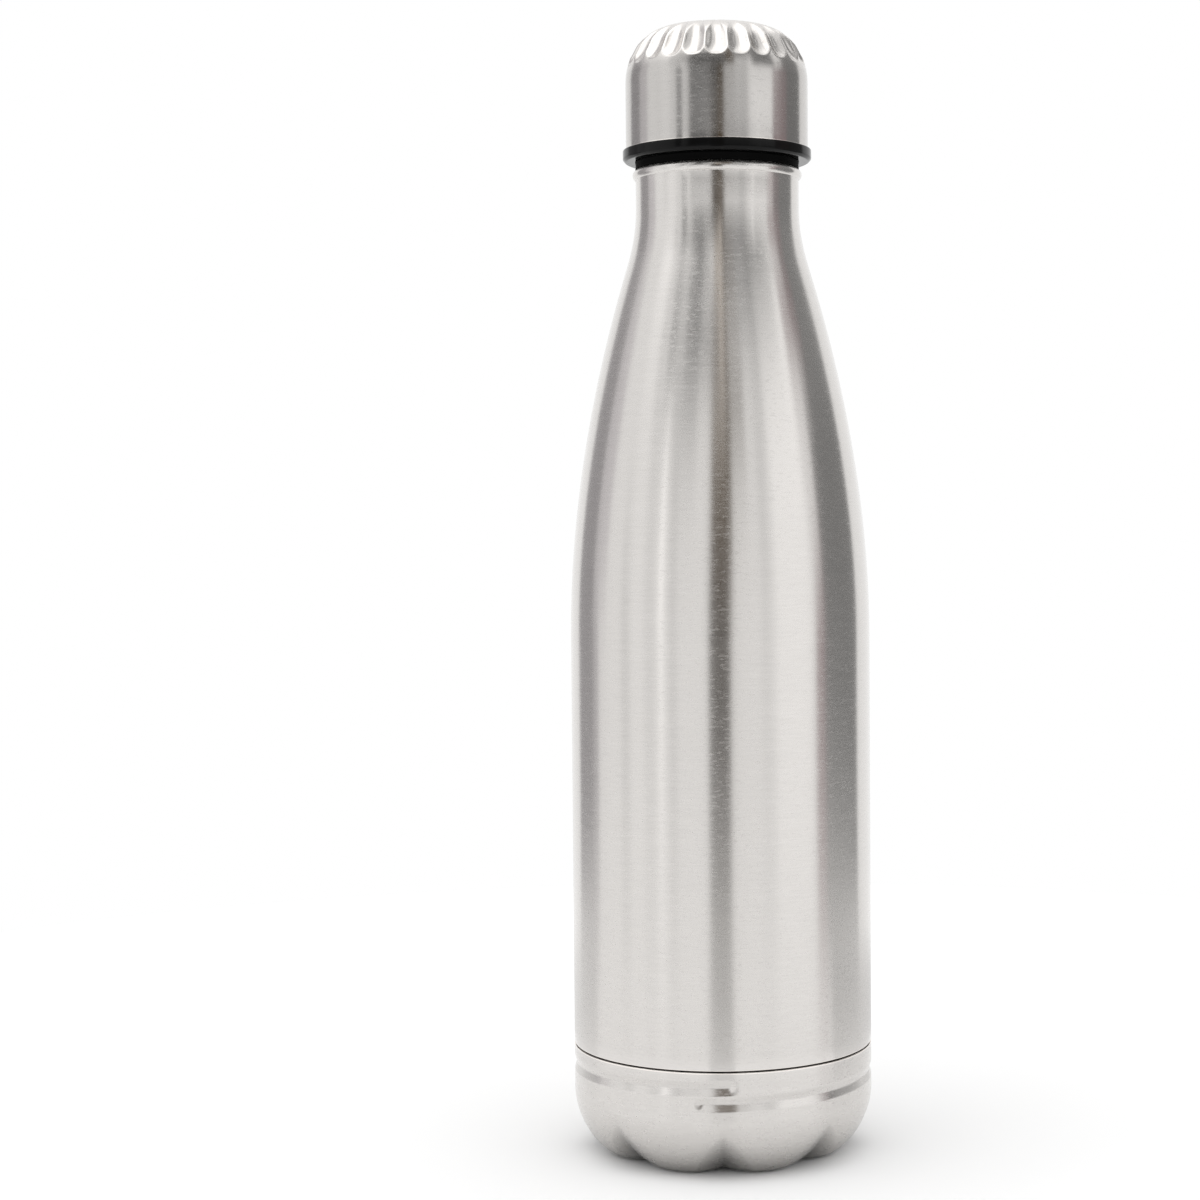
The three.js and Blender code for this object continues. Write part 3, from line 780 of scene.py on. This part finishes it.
@dataclass
class OuterShell:
    """The brushed shell: barrel, shoulder, neck and lip, with the bare inside of the compartment."""

    form: ShellForm = field(default_factory=ShellForm)
    mouth: float = 17.1
    ease: float = 0.16
    columns: int = 288

    def outline(self) -> Outline:
        """The sheet's section: up the outside, over the lip and down the inside."""
        form, ease = self.form, self.ease
        start, top = [[form.barrel_radius, form.seam]], [[self.mouth, form.lip_height]]
        inside = lining(start, form.shoulder(), form.lip(), top)
        return Outline([
            Stretch(inside[-1:], finish=Side.CUT_EDGE_AND_HIGHLIGHT),
            Stretch(start, ease, 0.2, Side.CUT_EDGE_AND_HIGHLIGHT),
            Stretch(form.shoulder(), step=3.0),
            Stretch(form.lip()),
            Stretch(top, ease, 0.5, Side.CUT_EDGE_AND_HIGHLIGHT),
            Stretch(inside[:1], ease, finish=Side.CUT_EDGE_AND_HIGHLIGHT),
            Stretch(inside[1:], ease, 6.0, Side.DRAWN),
        ])

    def build(self, finishes: Finishes) -> None:
        """Builds and dresses the shell."""
        piece = Turned("outer_shell", self.outline(), self.columns)
        materials = finishes.brushed, finishes.rim, finishes.drawn
        place(piece, "bottle", "body_shell", "brushed_shell", *materials)


@dataclass
class ThreadRing:
    """The smooth ring in the barrel's open end, with the rolled ridge that the base screws on."""

    radius: float = 33.5
    seat_radius: float = 34.2
    bottom: float = 12.0
    step_start: float = 25.9
    step_end: float = 26.8
    top: float = 31.5
    ridge_middle: float = 17.0
    ridge_rise: float = 0.7
    columns: int = 288

    def outline(self) -> Outline:
        """The ring's section: threaded neck, a step out, and the seat inside the barrel."""
        outer = np.array([
            [self.radius, self.bottom], [self.radius, self.step_start],
            [self.seat_radius, self.step_end], [self.seat_radius, self.top],
        ])
        inner = lining(outer)
        return Outline(bends(
            inner[3], (*outer[0], 0.18), (*outer[1], 0.5, 0.14), (*outer[2], 0.5, 0.2), (*outer[3], 0.15),
            (*inner[0], 0.15), (*inner[1], 0.5), (*inner[2], 0.5, 0.2), (*inner[3], 0.18, 0.14),
        ))

    def build(self, finishes: Finishes) -> None:
        """Builds and dresses the ring."""
        ridge = ScrewRidge(self.ridge_middle, self.ridge_rise)
        piece = Turned("thread_ring", self.outline(), self.columns, (ridge,))
        place(piece, "bottle", "base_thread_ring", "polished_ring", finishes.polished)


@dataclass
class CompartmentCeiling:
    """The drawn disc over the compartment, with the sealed pumping hole and its cover."""

    radius: float = 34.2
    height: float = 95.0
    skirt: float = 7.0
    corner: float = 1.5
    dimple_outer: float = 11.0
    dimple_inner: float = 9.0
    dimple_rise: float = 1.5
    hole: float = 1.2
    end_ease: float = 0.15
    bend_ease: float = 0.8
    cover_radius: float = 13.0
    cover_thick: float = 0.4
    columns: int = 160

    def outline(self) -> Outline:
        """The disc's section: up the skirt, across the top to the hole, and back beneath."""
        low, high = self.height - self.skirt, self.height + self.dimple_rise
        above = np.array([
            [self.radius, low], [self.radius, self.height - self.corner],
            [self.radius - self.corner, self.height], [self.dimple_outer, self.height],
            [self.dimple_inner, high], [self.hole, high],
        ])
        below = lining(above)
        eases = [self.end_ease, *[self.bend_ease] * 4, self.end_ease]
        rows = [(*point, ease) for line in (above, below) for point, ease in zip(line, eases)]
        return Outline(bends(below[-1], *rows))

    def cover(self) -> Outline:
        """The cover's section: a thin disc with its lower edge turned back."""
        top = self.height - SHEET
        low, radius = top - self.cover_thick, self.cover_radius
        edge = (radius - self.cover_thick, low, 0.25), (radius, top, 0.08)
        return Outline(bends((0.0, low), *edge, (0.0, top)))

    def build(self, finishes: Finishes) -> None:
        """Builds the disc and its cover, and dresses the bead and the getter where they are."""
        disc = Turned("ceiling_disc", self.outline(), self.columns)
        place(disc, "bottle", "compartment_ceiling", "vessel_steel", finishes.drawn)
        cover = Turned("pump_hole_cover", self.cover(), self.columns)
        place(cover, "bottle", "seal_cover", "polished_ring", finishes.polished)
        dress_nodes({
            "glass_seal": finishes.glass, "getter_pill": finishes.getter, "getter_clip": finishes.vessel
        })


@dataclass
class InnerVessel:
    """The drinking vessel: a drawn wall with the mouth's inward ridge, and a dished bottom."""

    form: ShellForm = field(default_factory=ShellForm)
    bottom: float = 100.0
    skirt: float = 6.0
    corner: float = 4.0
    dish: float = 3.0
    dish_points: int = 24
    ridge_middle: float = 222.3
    ridge_rise: float = 0.8
    columns: int = 192

    def wall_outline(self) -> Outline:
        """The wall's section: the shoulder line moved in by the shell's sheet and the vacuum."""
        inner = SHEET + VACUUM
        wall = self.form.shoulder() - [inner, 0.0]
        start = [[self.form.barrel_radius - inner, self.bottom]]
        mouth = [[self.form.neck_radius - inner, self.form.lip_height]]
        inside = lining(start, wall, mouth)
        return Outline([
            Stretch(inside[-1:]), Stretch(start, 0.12), Stretch(wall, step=6.0), Stretch(mouth, 0.14, 0.25),
            Stretch(inside[:1], 0.14), Stretch(inside[1:2], step=0.25), Stretch(inside[2:], 0.12, 6.0),
        ])

    def bottom_outline(self) -> Outline:
        """The bottom's section: a dish that falls with the square of the radius, a corner and a skirt."""
        edge = self.form.barrel_radius - SHEET - VACUUM - SHEET - FIT
        dished = edge - self.corner
        radius = np.linspace(0, dished, self.dish_points)
        dish = np.column_stack([radius, self.bottom + self.dish * (1 - (radius / dished) ** 2)])
        knee = [edge, self.bottom]
        corner = bezier(dish[-1], knee, knee, [edge, self.bottom + self.corner], steps=10)
        below = np.vstack([dish, corner[1:], [[edge, self.bottom + self.skirt]]])
        above = lining(below)
        return Outline([
            Stretch(below[:-1]), Stretch(below[-1:], 0.15), Stretch(above[:1], 0.15), Stretch(above[1:]),
        ])

    def build(self, finishes: Finishes) -> None:
        """Builds and dresses the wall and the bottom."""
        ridge = ScrewRidge(self.ridge_middle, -self.ridge_rise)
        wall = Turned("vessel_wall", self.wall_outline(), self.columns, (ridge,))
        place(wall, "bottle", "inner_vessel", "vessel_steel", finishes.vessel)
        bottom = Turned("vessel_dish", self.bottom_outline(), self.columns)
        place(bottom, "bottle", "vessel_bottom", "vessel_steel", finishes.vessel)


@dataclass
class BaseCup:
    """The screw-off base: a drawn cup on eight lobes, with a rolled groove that takes the ring's ridge."""

    radius: float = 35.0
    rounding: float = 14.2
    wall_handle: float = 4.7
    rim: float = 25.1
    painted_rim_highlight: float = 0.3
    slope_middle: float = 18.94
    slope_half: float = 0.82
    groove_depth: float = 0.48
    thread_middle: float = 18.8
    thread_depth: float = 0.7
    thread_half: float = 1.3
    ridge_start: float = -0.03  # where both ridges start and end, in turns
    ridge_end: float = 1.014
    ridge_fade: float = 0.008
    foot_handle_reach: float = 6.0
    foot_handle_rise: float = 1.2
    centre_height: float = 4.6
    lobes: Lobes = field(default_factory=Lobes)
    columns: int = 320

    def underside(self) -> Points:
        """From the flat middle out to the feet, and round from the feet up to the wall."""
        foot, inner, middle = self.lobes.foot_radius, self.lobes.foot_inner, self.lobes.centre_radius
        half = (inner + middle) / 2
        level = self.centre_height
        hollow = bezier([middle, level], [half, level], [half, 0], [inner, 0], steps=22)
        rounding = bezier(
            [foot, 0], [foot + self.foot_handle_reach, self.foot_handle_rise],
            [self.radius, self.rounding - self.wall_handle], [self.radius, self.rounding], steps=44
        )
        return np.vstack([hollow, rounding])

    def outline(self) -> Outline:
        """The cup's section: out along the underside, up the wall, and back inside."""
        start, rim = [[0.0, self.centre_height]], np.array([[self.radius, self.rim]])
        inside = lining(start, self.underside(), rim)
        inside[-1, 0] = 0.0
        return Outline([
            Stretch(start),
            Stretch(self.underside(), step=0.9),
            Stretch(rim - [0.0, self.painted_rim_highlight], step=0.17),
            # the band under the rim is a painted highlight in the bright edge steel
            Stretch(rim, 0.1, 0.17, Side.CUT_EDGE_AND_HIGHLIGHT),
            Stretch(inside[:1], 0.14, 0.25, Side.CUT_EDGE_AND_HIGHLIGHT),
            Stretch(inside[1:2], 0.0, 0.25, Side.DRAWN),
            Stretch(inside[2:], 0.0, 1.3, Side.DRAWN),
        ])

    def build(self, finishes: Finishes) -> None:
        """Builds and dresses the cup: the groove is in its outside, the thread in its inside."""
        sheet = self.radius - SHEET / 2
        ends = {"start": self.ridge_start, "end": self.ridge_end, "fade": self.ridge_fade}
        groove = RolledGroove(
            self.slope_middle, -self.groove_depth, inner=sheet, half_width=self.slope_half, **ends
        )
        thread = ScrewRidge(
            self.thread_middle, -self.thread_depth, outer=sheet, half_width=self.thread_half, **ends
        )
        piece = Turned("lobed_base_cup", self.outline(), self.columns, (thread, groove, self.lobes))
        materials = finishes.base, finishes.rim, finishes.drawn
        place(piece, "base", "base_cup", "brushed_shell", *materials)


@dataclass
class BaseGasket:
    """The rubber ring in the cup, which the thread ring presses on."""

    outer: float = 33.6
    width: float = 2.2
    top: float = 12.0
    thick: float = 1.6
    edge: float = 0.6
    ease: float = 0.2
    columns: int = 192

    def outline(self) -> Outline:
        """The gasket's section: a flat strip with its lower outer corner cut back."""
        low, inner, outer, top = self.top - self.thick, self.outer - self.width, self.outer, self.top
        line = [(inner, low), (outer - self.edge, low), (outer, low + self.edge), (outer, top), (inner, top)]
        return Outline(bends(line[-1], *[(*point, self.ease) for point in line]))

    def build(self, finishes: Finishes) -> None:
        """Builds and dresses the gasket."""
        piece = Turned("base_sealing_ring", self.outline(), self.columns)
        place(piece, "base_seal", "base_gasket", "black_silicone", finishes.rubber)


@dataclass
class Cap:
    """The screw cap: a fluted steel dome over a black moulding with a threaded stem, and its gasket."""

    radius: float = 21.2
    bottom: float = 233.7
    painted_edge_highlight: float = 0.25
    dome_start: float = 249.0
    top: float = 262.0
    dome_handle: float = 6.5
    dome_draw: float = 3.7
    flat_radius: float = 9.0
    flange_radius: float = 21.95
    flange_bottom: float = 231.0
    flange_edge: float = 0.6
    skirt_radius: float = 20.4
    inner_shoulder: float = 248.5
    inner_top: float = 257.0
    inner_top_radius: float = 15.5
    wall: float = 1.5
    stem_radius: float = 15.2
    stem_bottom: float = 206.0
    stem_flange: float = 18.6
    stem_top: float = 233.0
    stem_ease: float = 1.0
    recess_inner: float = 4.6  # the shallow ring pressed into the stem's bottom
    recess_outer: float = 12.2
    recess_depth: float = 0.5
    recess_slant: float = 0.6
    ridge_middle: float = 220.5
    ridge_rise: float = 0.8
    collar_radius: float = 19.1
    collar_waist: float = 0.15
    collar_inner: float = 15.5
    collar_bottom: float = 229.2
    columns: int = 24 * 17  # 17 to a flute
    inner_columns: int = 192

    def dome(self) -> Points:
        """The dome from the wall to the flat top, as one cubic curve."""
        return bezier(
            [self.radius, self.dome_start], [self.radius, self.dome_start + self.dome_handle],
            [self.radius - self.dome_draw, self.top], [self.flat_radius, self.top], steps=64
        )

    def shell_outline(self) -> Outline:
        """The steel's section: up the wall, over the dome to the middle, and back beneath."""
        start, middle = np.array([[self.radius, self.bottom]]), [[0.0, self.top]]
        inside = lining(start, self.dome(), middle)
        inside[0, 0] = 0.0
        return Outline([
            Stretch(inside[:-1], step=1.5),
            Stretch(inside[-1:], 0.1),
            Stretch(start, 0.08, 0.2, Side.CUT_EDGE_AND_HIGHLIGHT),
            # the band above the bottom edge is a painted highlight in the bright edge steel
            Stretch(start + [0.0, self.painted_edge_highlight], finish=Side.CUT_EDGE_AND_HIGHLIGHT),
            Stretch(self.dome(), step=1.5),
            Stretch(middle, step=1.0),
        ])

    def moulding_outline(self) -> Outline:
        """The inner cap's section: a rounded flange, the skirt in the steel, and the hollow beneath."""
        skirt, flange, low, edge = self.skirt_radius, self.flange_radius, self.flange_bottom, self.flange_edge
        top = [[skirt, self.inner_shoulder], [self.inner_top_radius, self.inner_top], [0.0, self.inner_top]]
        hollow = inset(np.array([[skirt, low], *top]), self.wall)[::-1]
        foot = bends(
            (*hollow[-1], 0.3), (flange - edge, low, 0.25, 1.0), (flange, low + edge, 0.25),
            (flange, self.bottom, 0.3, 0.4), (skirt, self.bottom, 0.1),
        )
        return Outline([Stretch(hollow[:-1]), *foot, Stretch(top)])

    def stem_outline(self) -> Outline:
        """The stem's section: a closed bottom with a recess, the threaded wall, the flange, and the hollow
        above."""
        radius, bottom, flange, top = self.stem_radius, self.stem_bottom, self.flange_bottom, self.stem_top
        bore, floor, deep = radius - self.wall, bottom + self.wall, bottom + self.recess_depth
        inner, outer, slant = self.recess_inner, self.recess_outer, self.recess_slant
        return Outline(bends(
            (0.0, bottom), (inner - slant, bottom, 0.3), (inner, deep, 0.3),
            (outer, deep, 0.3), (outer + slant, bottom, 0.3), (radius, bottom, self.stem_ease, 0.5),
            (radius, flange, 0.2, 0.2), (self.stem_flange, flange, 0.2), (self.stem_flange, top, 0.3),
            (bore, top, 0.2), (bore, floor, 0.3), (0.0, floor),
        ))

    def gasket_outline(self) -> Outline:
        """The collar's section: a ring with a slight waist."""
        outer, inner = self.collar_radius, self.collar_inner
        low, high = self.collar_bottom, self.flange_bottom
        return Outline(bends(
            (inner, low), (outer, low, 0.25), (outer - self.collar_waist, (low + high) / 2, 0.6),
            (outer, high, 0.25), (inner, high, 0.2), (inner, low, 0.2),
        ))

    def build(self, finishes: Finishes) -> None:
        """Builds and dresses the cap's pieces."""
        flutes = Flutes(top=self.top, flat_radius=self.flat_radius)
        shell = Turned("fluted_cap_shell", self.shell_outline(), self.columns, (flutes,))
        place(shell, "cap", "cap_shell", "brushed_shell", finishes.cap, finishes.rim)
        moulding = Turned("cap_moulding", self.moulding_outline(), self.inner_columns)
        place(moulding, "cap", "inner_cap", "black_plastic", finishes.plastic)
        ridge = ScrewRidge(self.ridge_middle, self.ridge_rise, inner=self.stem_radius - self.wall / 2)
        stem = Turned("cap_stem", self.stem_outline(), self.inner_columns, (ridge,))
        place(stem, "cap", "threaded_stem", "black_plastic", finishes.stem)
        gasket = Turned("cap_sealing_ring", self.gasket_outline(), self.inner_columns)
        place(gasket, "cap_seal", "cap_gasket", "black_silicone", finishes.rubber)
        dress_nodes({"stem_foam": finishes.foam, "cap_foam": finishes.foam})


# -------------------- the studio


@dataclass(frozen=True)
class Card:
    """A curved grey card that stands round the bottle and shows only in reflections."""

    name: str
    left: float  # its ends, in degrees round from the camera's side, positive to the camera's right
    right: float
    bottom: float
    top: float
    tone: float
    distance: float = 1100.0
    warmth: float = 0.0
    rose: float = 0.0
    soft_sides: float = 1.5  # the degrees over which each side fades
    soft_ends: float = 60.0  # the mm over which its top and bottom fade

    FADE_MARKS = 9  # places across each fade
    FLAT_MARKS = 12  # places between the two fades

    def _marks(self, low: float, high: float, soft: float) -> Pair:
        """Places across the card, close together where it fades, and how much of it is there at each."""
        fade = soft * np.linspace(-0.5, 0.5, self.FADE_MARKS)
        flat = np.linspace(low + soft, high - soft, self.FLAT_MARKS)
        marks = np.unique([*(low + fade), *flat, *(high + fade)])
        return marks, eased_step((marks - low) / soft + 0.5) * eased_step((high - marks) / soft + 0.5)

    def build(self) -> None:
        """The card is a strip of a cylinder: (d sin a, -d cos a, h). It thins out towards its edges."""
        turn, across = self._marks(self.left, self.right, self.soft_sides)
        level, upright = self._marks(self.bottom, self.top, self.soft_ends)
        angle, height = np.meshgrid(np.radians(turn), level)
        away = self.distance
        points = np.stack([away * np.sin(angle), -away * np.cos(angle), height], axis=2) * MM
        index = np.arange(height.size).reshape(height.shape)
        faces = np.stack([index[:-1, :-1], index[:-1, 1:], index[1:, 1:], index[1:, :-1]], axis=2)
        mesh = bpy.data.meshes.new(self.name)
        mesh.from_pydata(points.reshape(-1, 3).tolist(), [], faces.reshape(-1, 4).tolist())
        layer = mesh.attributes.new("cover", "FLOAT", "POINT")
        layer.data.foreach_set("value", np.outer(upright, across).ravel().astype(np.float32))
        s = Shader(self.name)
        colour = grey(self.tone, self.warmth, self.rose)
        glow = s.node("ShaderNodeEmission", sockets={"Color": colour, "Strength": 1.0})
        clear = s.node("ShaderNodeBsdfTransparent")
        mesh.materials.append(s.finish("ShaderNodeMixShader", {0: s.attribute("cover"), 1: clear, 2: glow}))
        made = link(self.name, mesh)
        made.visible_camera = made.visible_diffuse = made.visible_shadow = False


@dataclass(frozen=True)
class Panel:
    """A soft lamp of an even brightness, turned towards the bottle."""

    name: str
    place: tuple[float, float, float]
    size: tuple[float, float]
    brightness: float
    aim: tuple[float, float, float] = (0.0, 0.0, 130.0)

    def build(self) -> None:
        """A flat lamp gives out pi x area x brightness watts."""
        lamp = bpy.data.lights.new(self.name, "AREA")
        lamp.shape = "RECTANGLE"
        lamp.size, lamp.size_y = (side * MM for side in self.size)
        lamp.energy = math.pi * lamp.size * lamp.size_y * self.brightness
        made = link(self.name, lamp)
        made.location = Vector(self.place) * MM
        aim = Vector(self.aim) * MM - made.location
        made.rotation_euler = aim.to_track_quat("-Z", "Y").to_euler()


@dataclass(frozen=True)
class Studio:
    """The white room, its floor, its cards and lamps, and the camera."""

    floor_radius: float = 385.0
    floor_tone: float = 0.94
    floor_corners: int = 96
    cards: tuple[Card, ...] = (
        Card("card_right", 84, 127, -700, 560, 0.24),
        Card("card_right_high", 93, 127, 560, 1800, 0.27),
        Card("card_right_edge", 77, 86, -700, 200, 0.30, 1060, 0.12, 0.15),
        Card("card_left", -137, -112, -700, 700, 0.38, rose=0.03),
        Card("card_left_low", -114, -106, -700, 120, 0.5, rose=0.03),
        Card("card_left_high", -137, -112, 700, 1800, 0.55, rose=0.03),
        Card("card_left_edge", -112, -97, 150, 700, 0.68, rose=0.03),
        Card("card_front_low", -8.7, 7.2, -700, 180, 0.015, 1000, 0.3),
        Card("card_front", -6.8, 9.6, 180, 560, 0.03, 1000, 0.9),
        Card("card_front_high", 6, 23, 560, 1500, 0.03, 1000, 0.9, soft_ends=160),
        Card("card_front_mid", -5, 6, 600, 1500, 0.62, 1000, 0.1, soft_ends=160),
        Card("card_high_left", -34, -20, 640, 1500, 0.16, 1060, soft_sides=4, soft_ends=260),
        Card("card_high_left_edge", -63, -32, 640, 1500, 0.42, 1080, soft_sides=8, soft_ends=260),
        Card("card_high_right", 22, 72, 820, 1500, 0.13, 1060, soft_sides=8, soft_ends=260),
        Card("card_roof_right", 15, 110, 1500, 3500, 0.3, 1060),
        Card("card_by_cap", -32, 1, 246, 284, 0.09, 150, soft_ends=5),
        Card("card_by_cap_left", -48, -40.5, 246, 284, 0.22, 150, soft_ends=5),
        Card("card_by_cap_right", 8, 36, 248, 284, 0.7, 150, soft_ends=5),
        Card("card_by_cap_edge", 70, 92, 242, 278, 0.28, 150, 0.12, 0.15, soft_ends=12),
        Card("card_by_dome", -30, 10, 262, 292, 0.12, 60, soft_sides=6, soft_ends=6),
        Card("card_by_dome_right", 38, 66, 262, 305, 0.2, 60, soft_sides=6, soft_ends=6),
        Card("card_by_neck_left", -31, -9, 230, 237, 0.3, 58, soft_sides=5, soft_ends=2),
        Card("card_by_neck_line", -48, -40, 235, 247, 0.1, 150, soft_ends=3),
        Card("card_by_neck_right", 6, 42, 230, 237.4, 0.1, 58, soft_sides=4, soft_ends=2),
        Card("card_by_neck_edge", 42, 64, 230, 237.4, 0.15, 58, soft_sides=4, soft_ends=2),
        Card("card_floor_right", 82, 160, -20, 26, 0.76, 130, soft_sides=3, soft_ends=18),
        Card("card_floor_left", -160, -100, -20, 26, 0.88, 130, soft_sides=6, soft_ends=18),
        Card("card_floor_front", -9, 7.5, -20, 26, 0.8, 128, soft_sides=3, soft_ends=18),
        Card("band_left", -39, -33, -200, 600, 0.82, 1040, soft_sides=4),
        Card("band_left_middle", -59, -50, -200, 800, 0.86, 1040, soft_sides=5),
        Card("band_left_outer", -80, -72, -400, 330, 0.82, 1040, soft_sides=4),
        Card("band_right", 31, 38, 0, 700, 0.85, 1040, soft_sides=4),
    )
    panels: tuple[Panel, ...] = (
        Panel("lamp_right", (760, -480, 250), (500, 1000), 0.14),
        Panel("lamp_right_high", (760, -480, 600), (500, 500), 0.14),
        Panel("lamp_left", (-760, -440, 250), (500, 1000), 0.03),
        Panel("lamp_left_high", (-760, -330, 950), (500, 400), 0.15),
        Panel("lamp_strip", (-707, -707, 330), (70, 700), 0.45),
        Panel("lamp_top", (0, -150, 1000), (900, 900), 0.5),
        Panel("lamp_top_left", (-500, -250, 1100), (800, 800), 0.4),
    )
    camera_distance: float = 559.5
    camera_height: float = 151.9
    focal_pixels: float = 2383.0
    frame_pixels: float = 1200.0
    pitch: float = 2.35  # degrees down
    roll: float = 0.39  # degrees
    shift: float = -0.1  # as a share of the frame

    def build(self) -> None:
        """Builds the room and the camera."""
        self._world()
        self._floor()
        for thing in (*self.cards, *self.panels):
            thing.build()
        self._camera()

    def _world(self) -> None:
        """An even white all round."""
        world = bpy.data.worlds.new("white_room")
        world.use_nodes = True
        sky = world.node_tree.nodes["Background"]
        sky.inputs["Color"].default_value = grey(1.0)
        sky.inputs["Strength"].default_value = 1.0
        bpy.context.scene.world = world

    def _floor(self) -> None:
        """A round white table top that shows from above only."""
        turn = np.linspace(0, 2 * np.pi, self.floor_corners + 1)[:-1]
        rim = np.column_stack([np.sin(turn), -np.cos(turn), 0 * turn]) * self.floor_radius * MM
        mesh = bpy.data.meshes.new("floor")
        mesh.from_pydata(rim.tolist(), [], [list(range(len(rim)))])
        s = Shader("floor_white")
        sheen = s.node("ShaderNodeBsdfDiffuse", sockets={"Color": grey(self.floor_tone)})
        clear = s.node("ShaderNodeBsdfTransparent")
        below = Wire(s, s.node("ShaderNodeNewGeometry").outputs["Backfacing"])
        mesh.materials.append(s.finish("ShaderNodeMixShader", {0: below, 1: sheen, 2: clear}))
        made = link("floor", mesh)

    def _camera(self) -> None:
        """The camera's focal length is its focal pixels over the frame's, times the sensor's width."""
        data = bpy.data.cameras.new("camera")
        data.sensor_width = 36.0
        data.lens = self.focal_pixels / self.frame_pixels * data.sensor_width
        data.shift_x = self.shift
        made = link("camera", data)
        tilt = Matrix.Rotation(math.radians(90 - self.pitch), 4, "X")
        look = tilt @ Matrix.Rotation(math.radians(-self.roll), 4, "Z")
        stand = Vector((0, -self.camera_distance, self.camera_height)) * MM
        made.matrix_world = Matrix.Translation(stand) @ look
        bpy.context.scene.camera = made


def main() -> None:
    """Builds the bottle round its frame, then the studio."""
    logging.basicConfig(level=logging.INFO, format="%(message)s")
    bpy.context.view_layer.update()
    bpy.context.scene.view_settings.view_transform = "Standard"
    finishes = Finishes()
    for part in (OuterShell, ThreadRing, CompartmentCeiling, InnerVessel, BaseCup, BaseGasket, Cap):
        part().build(finishes)
    Studio().build()


if __name__ == "__main__":
    main()
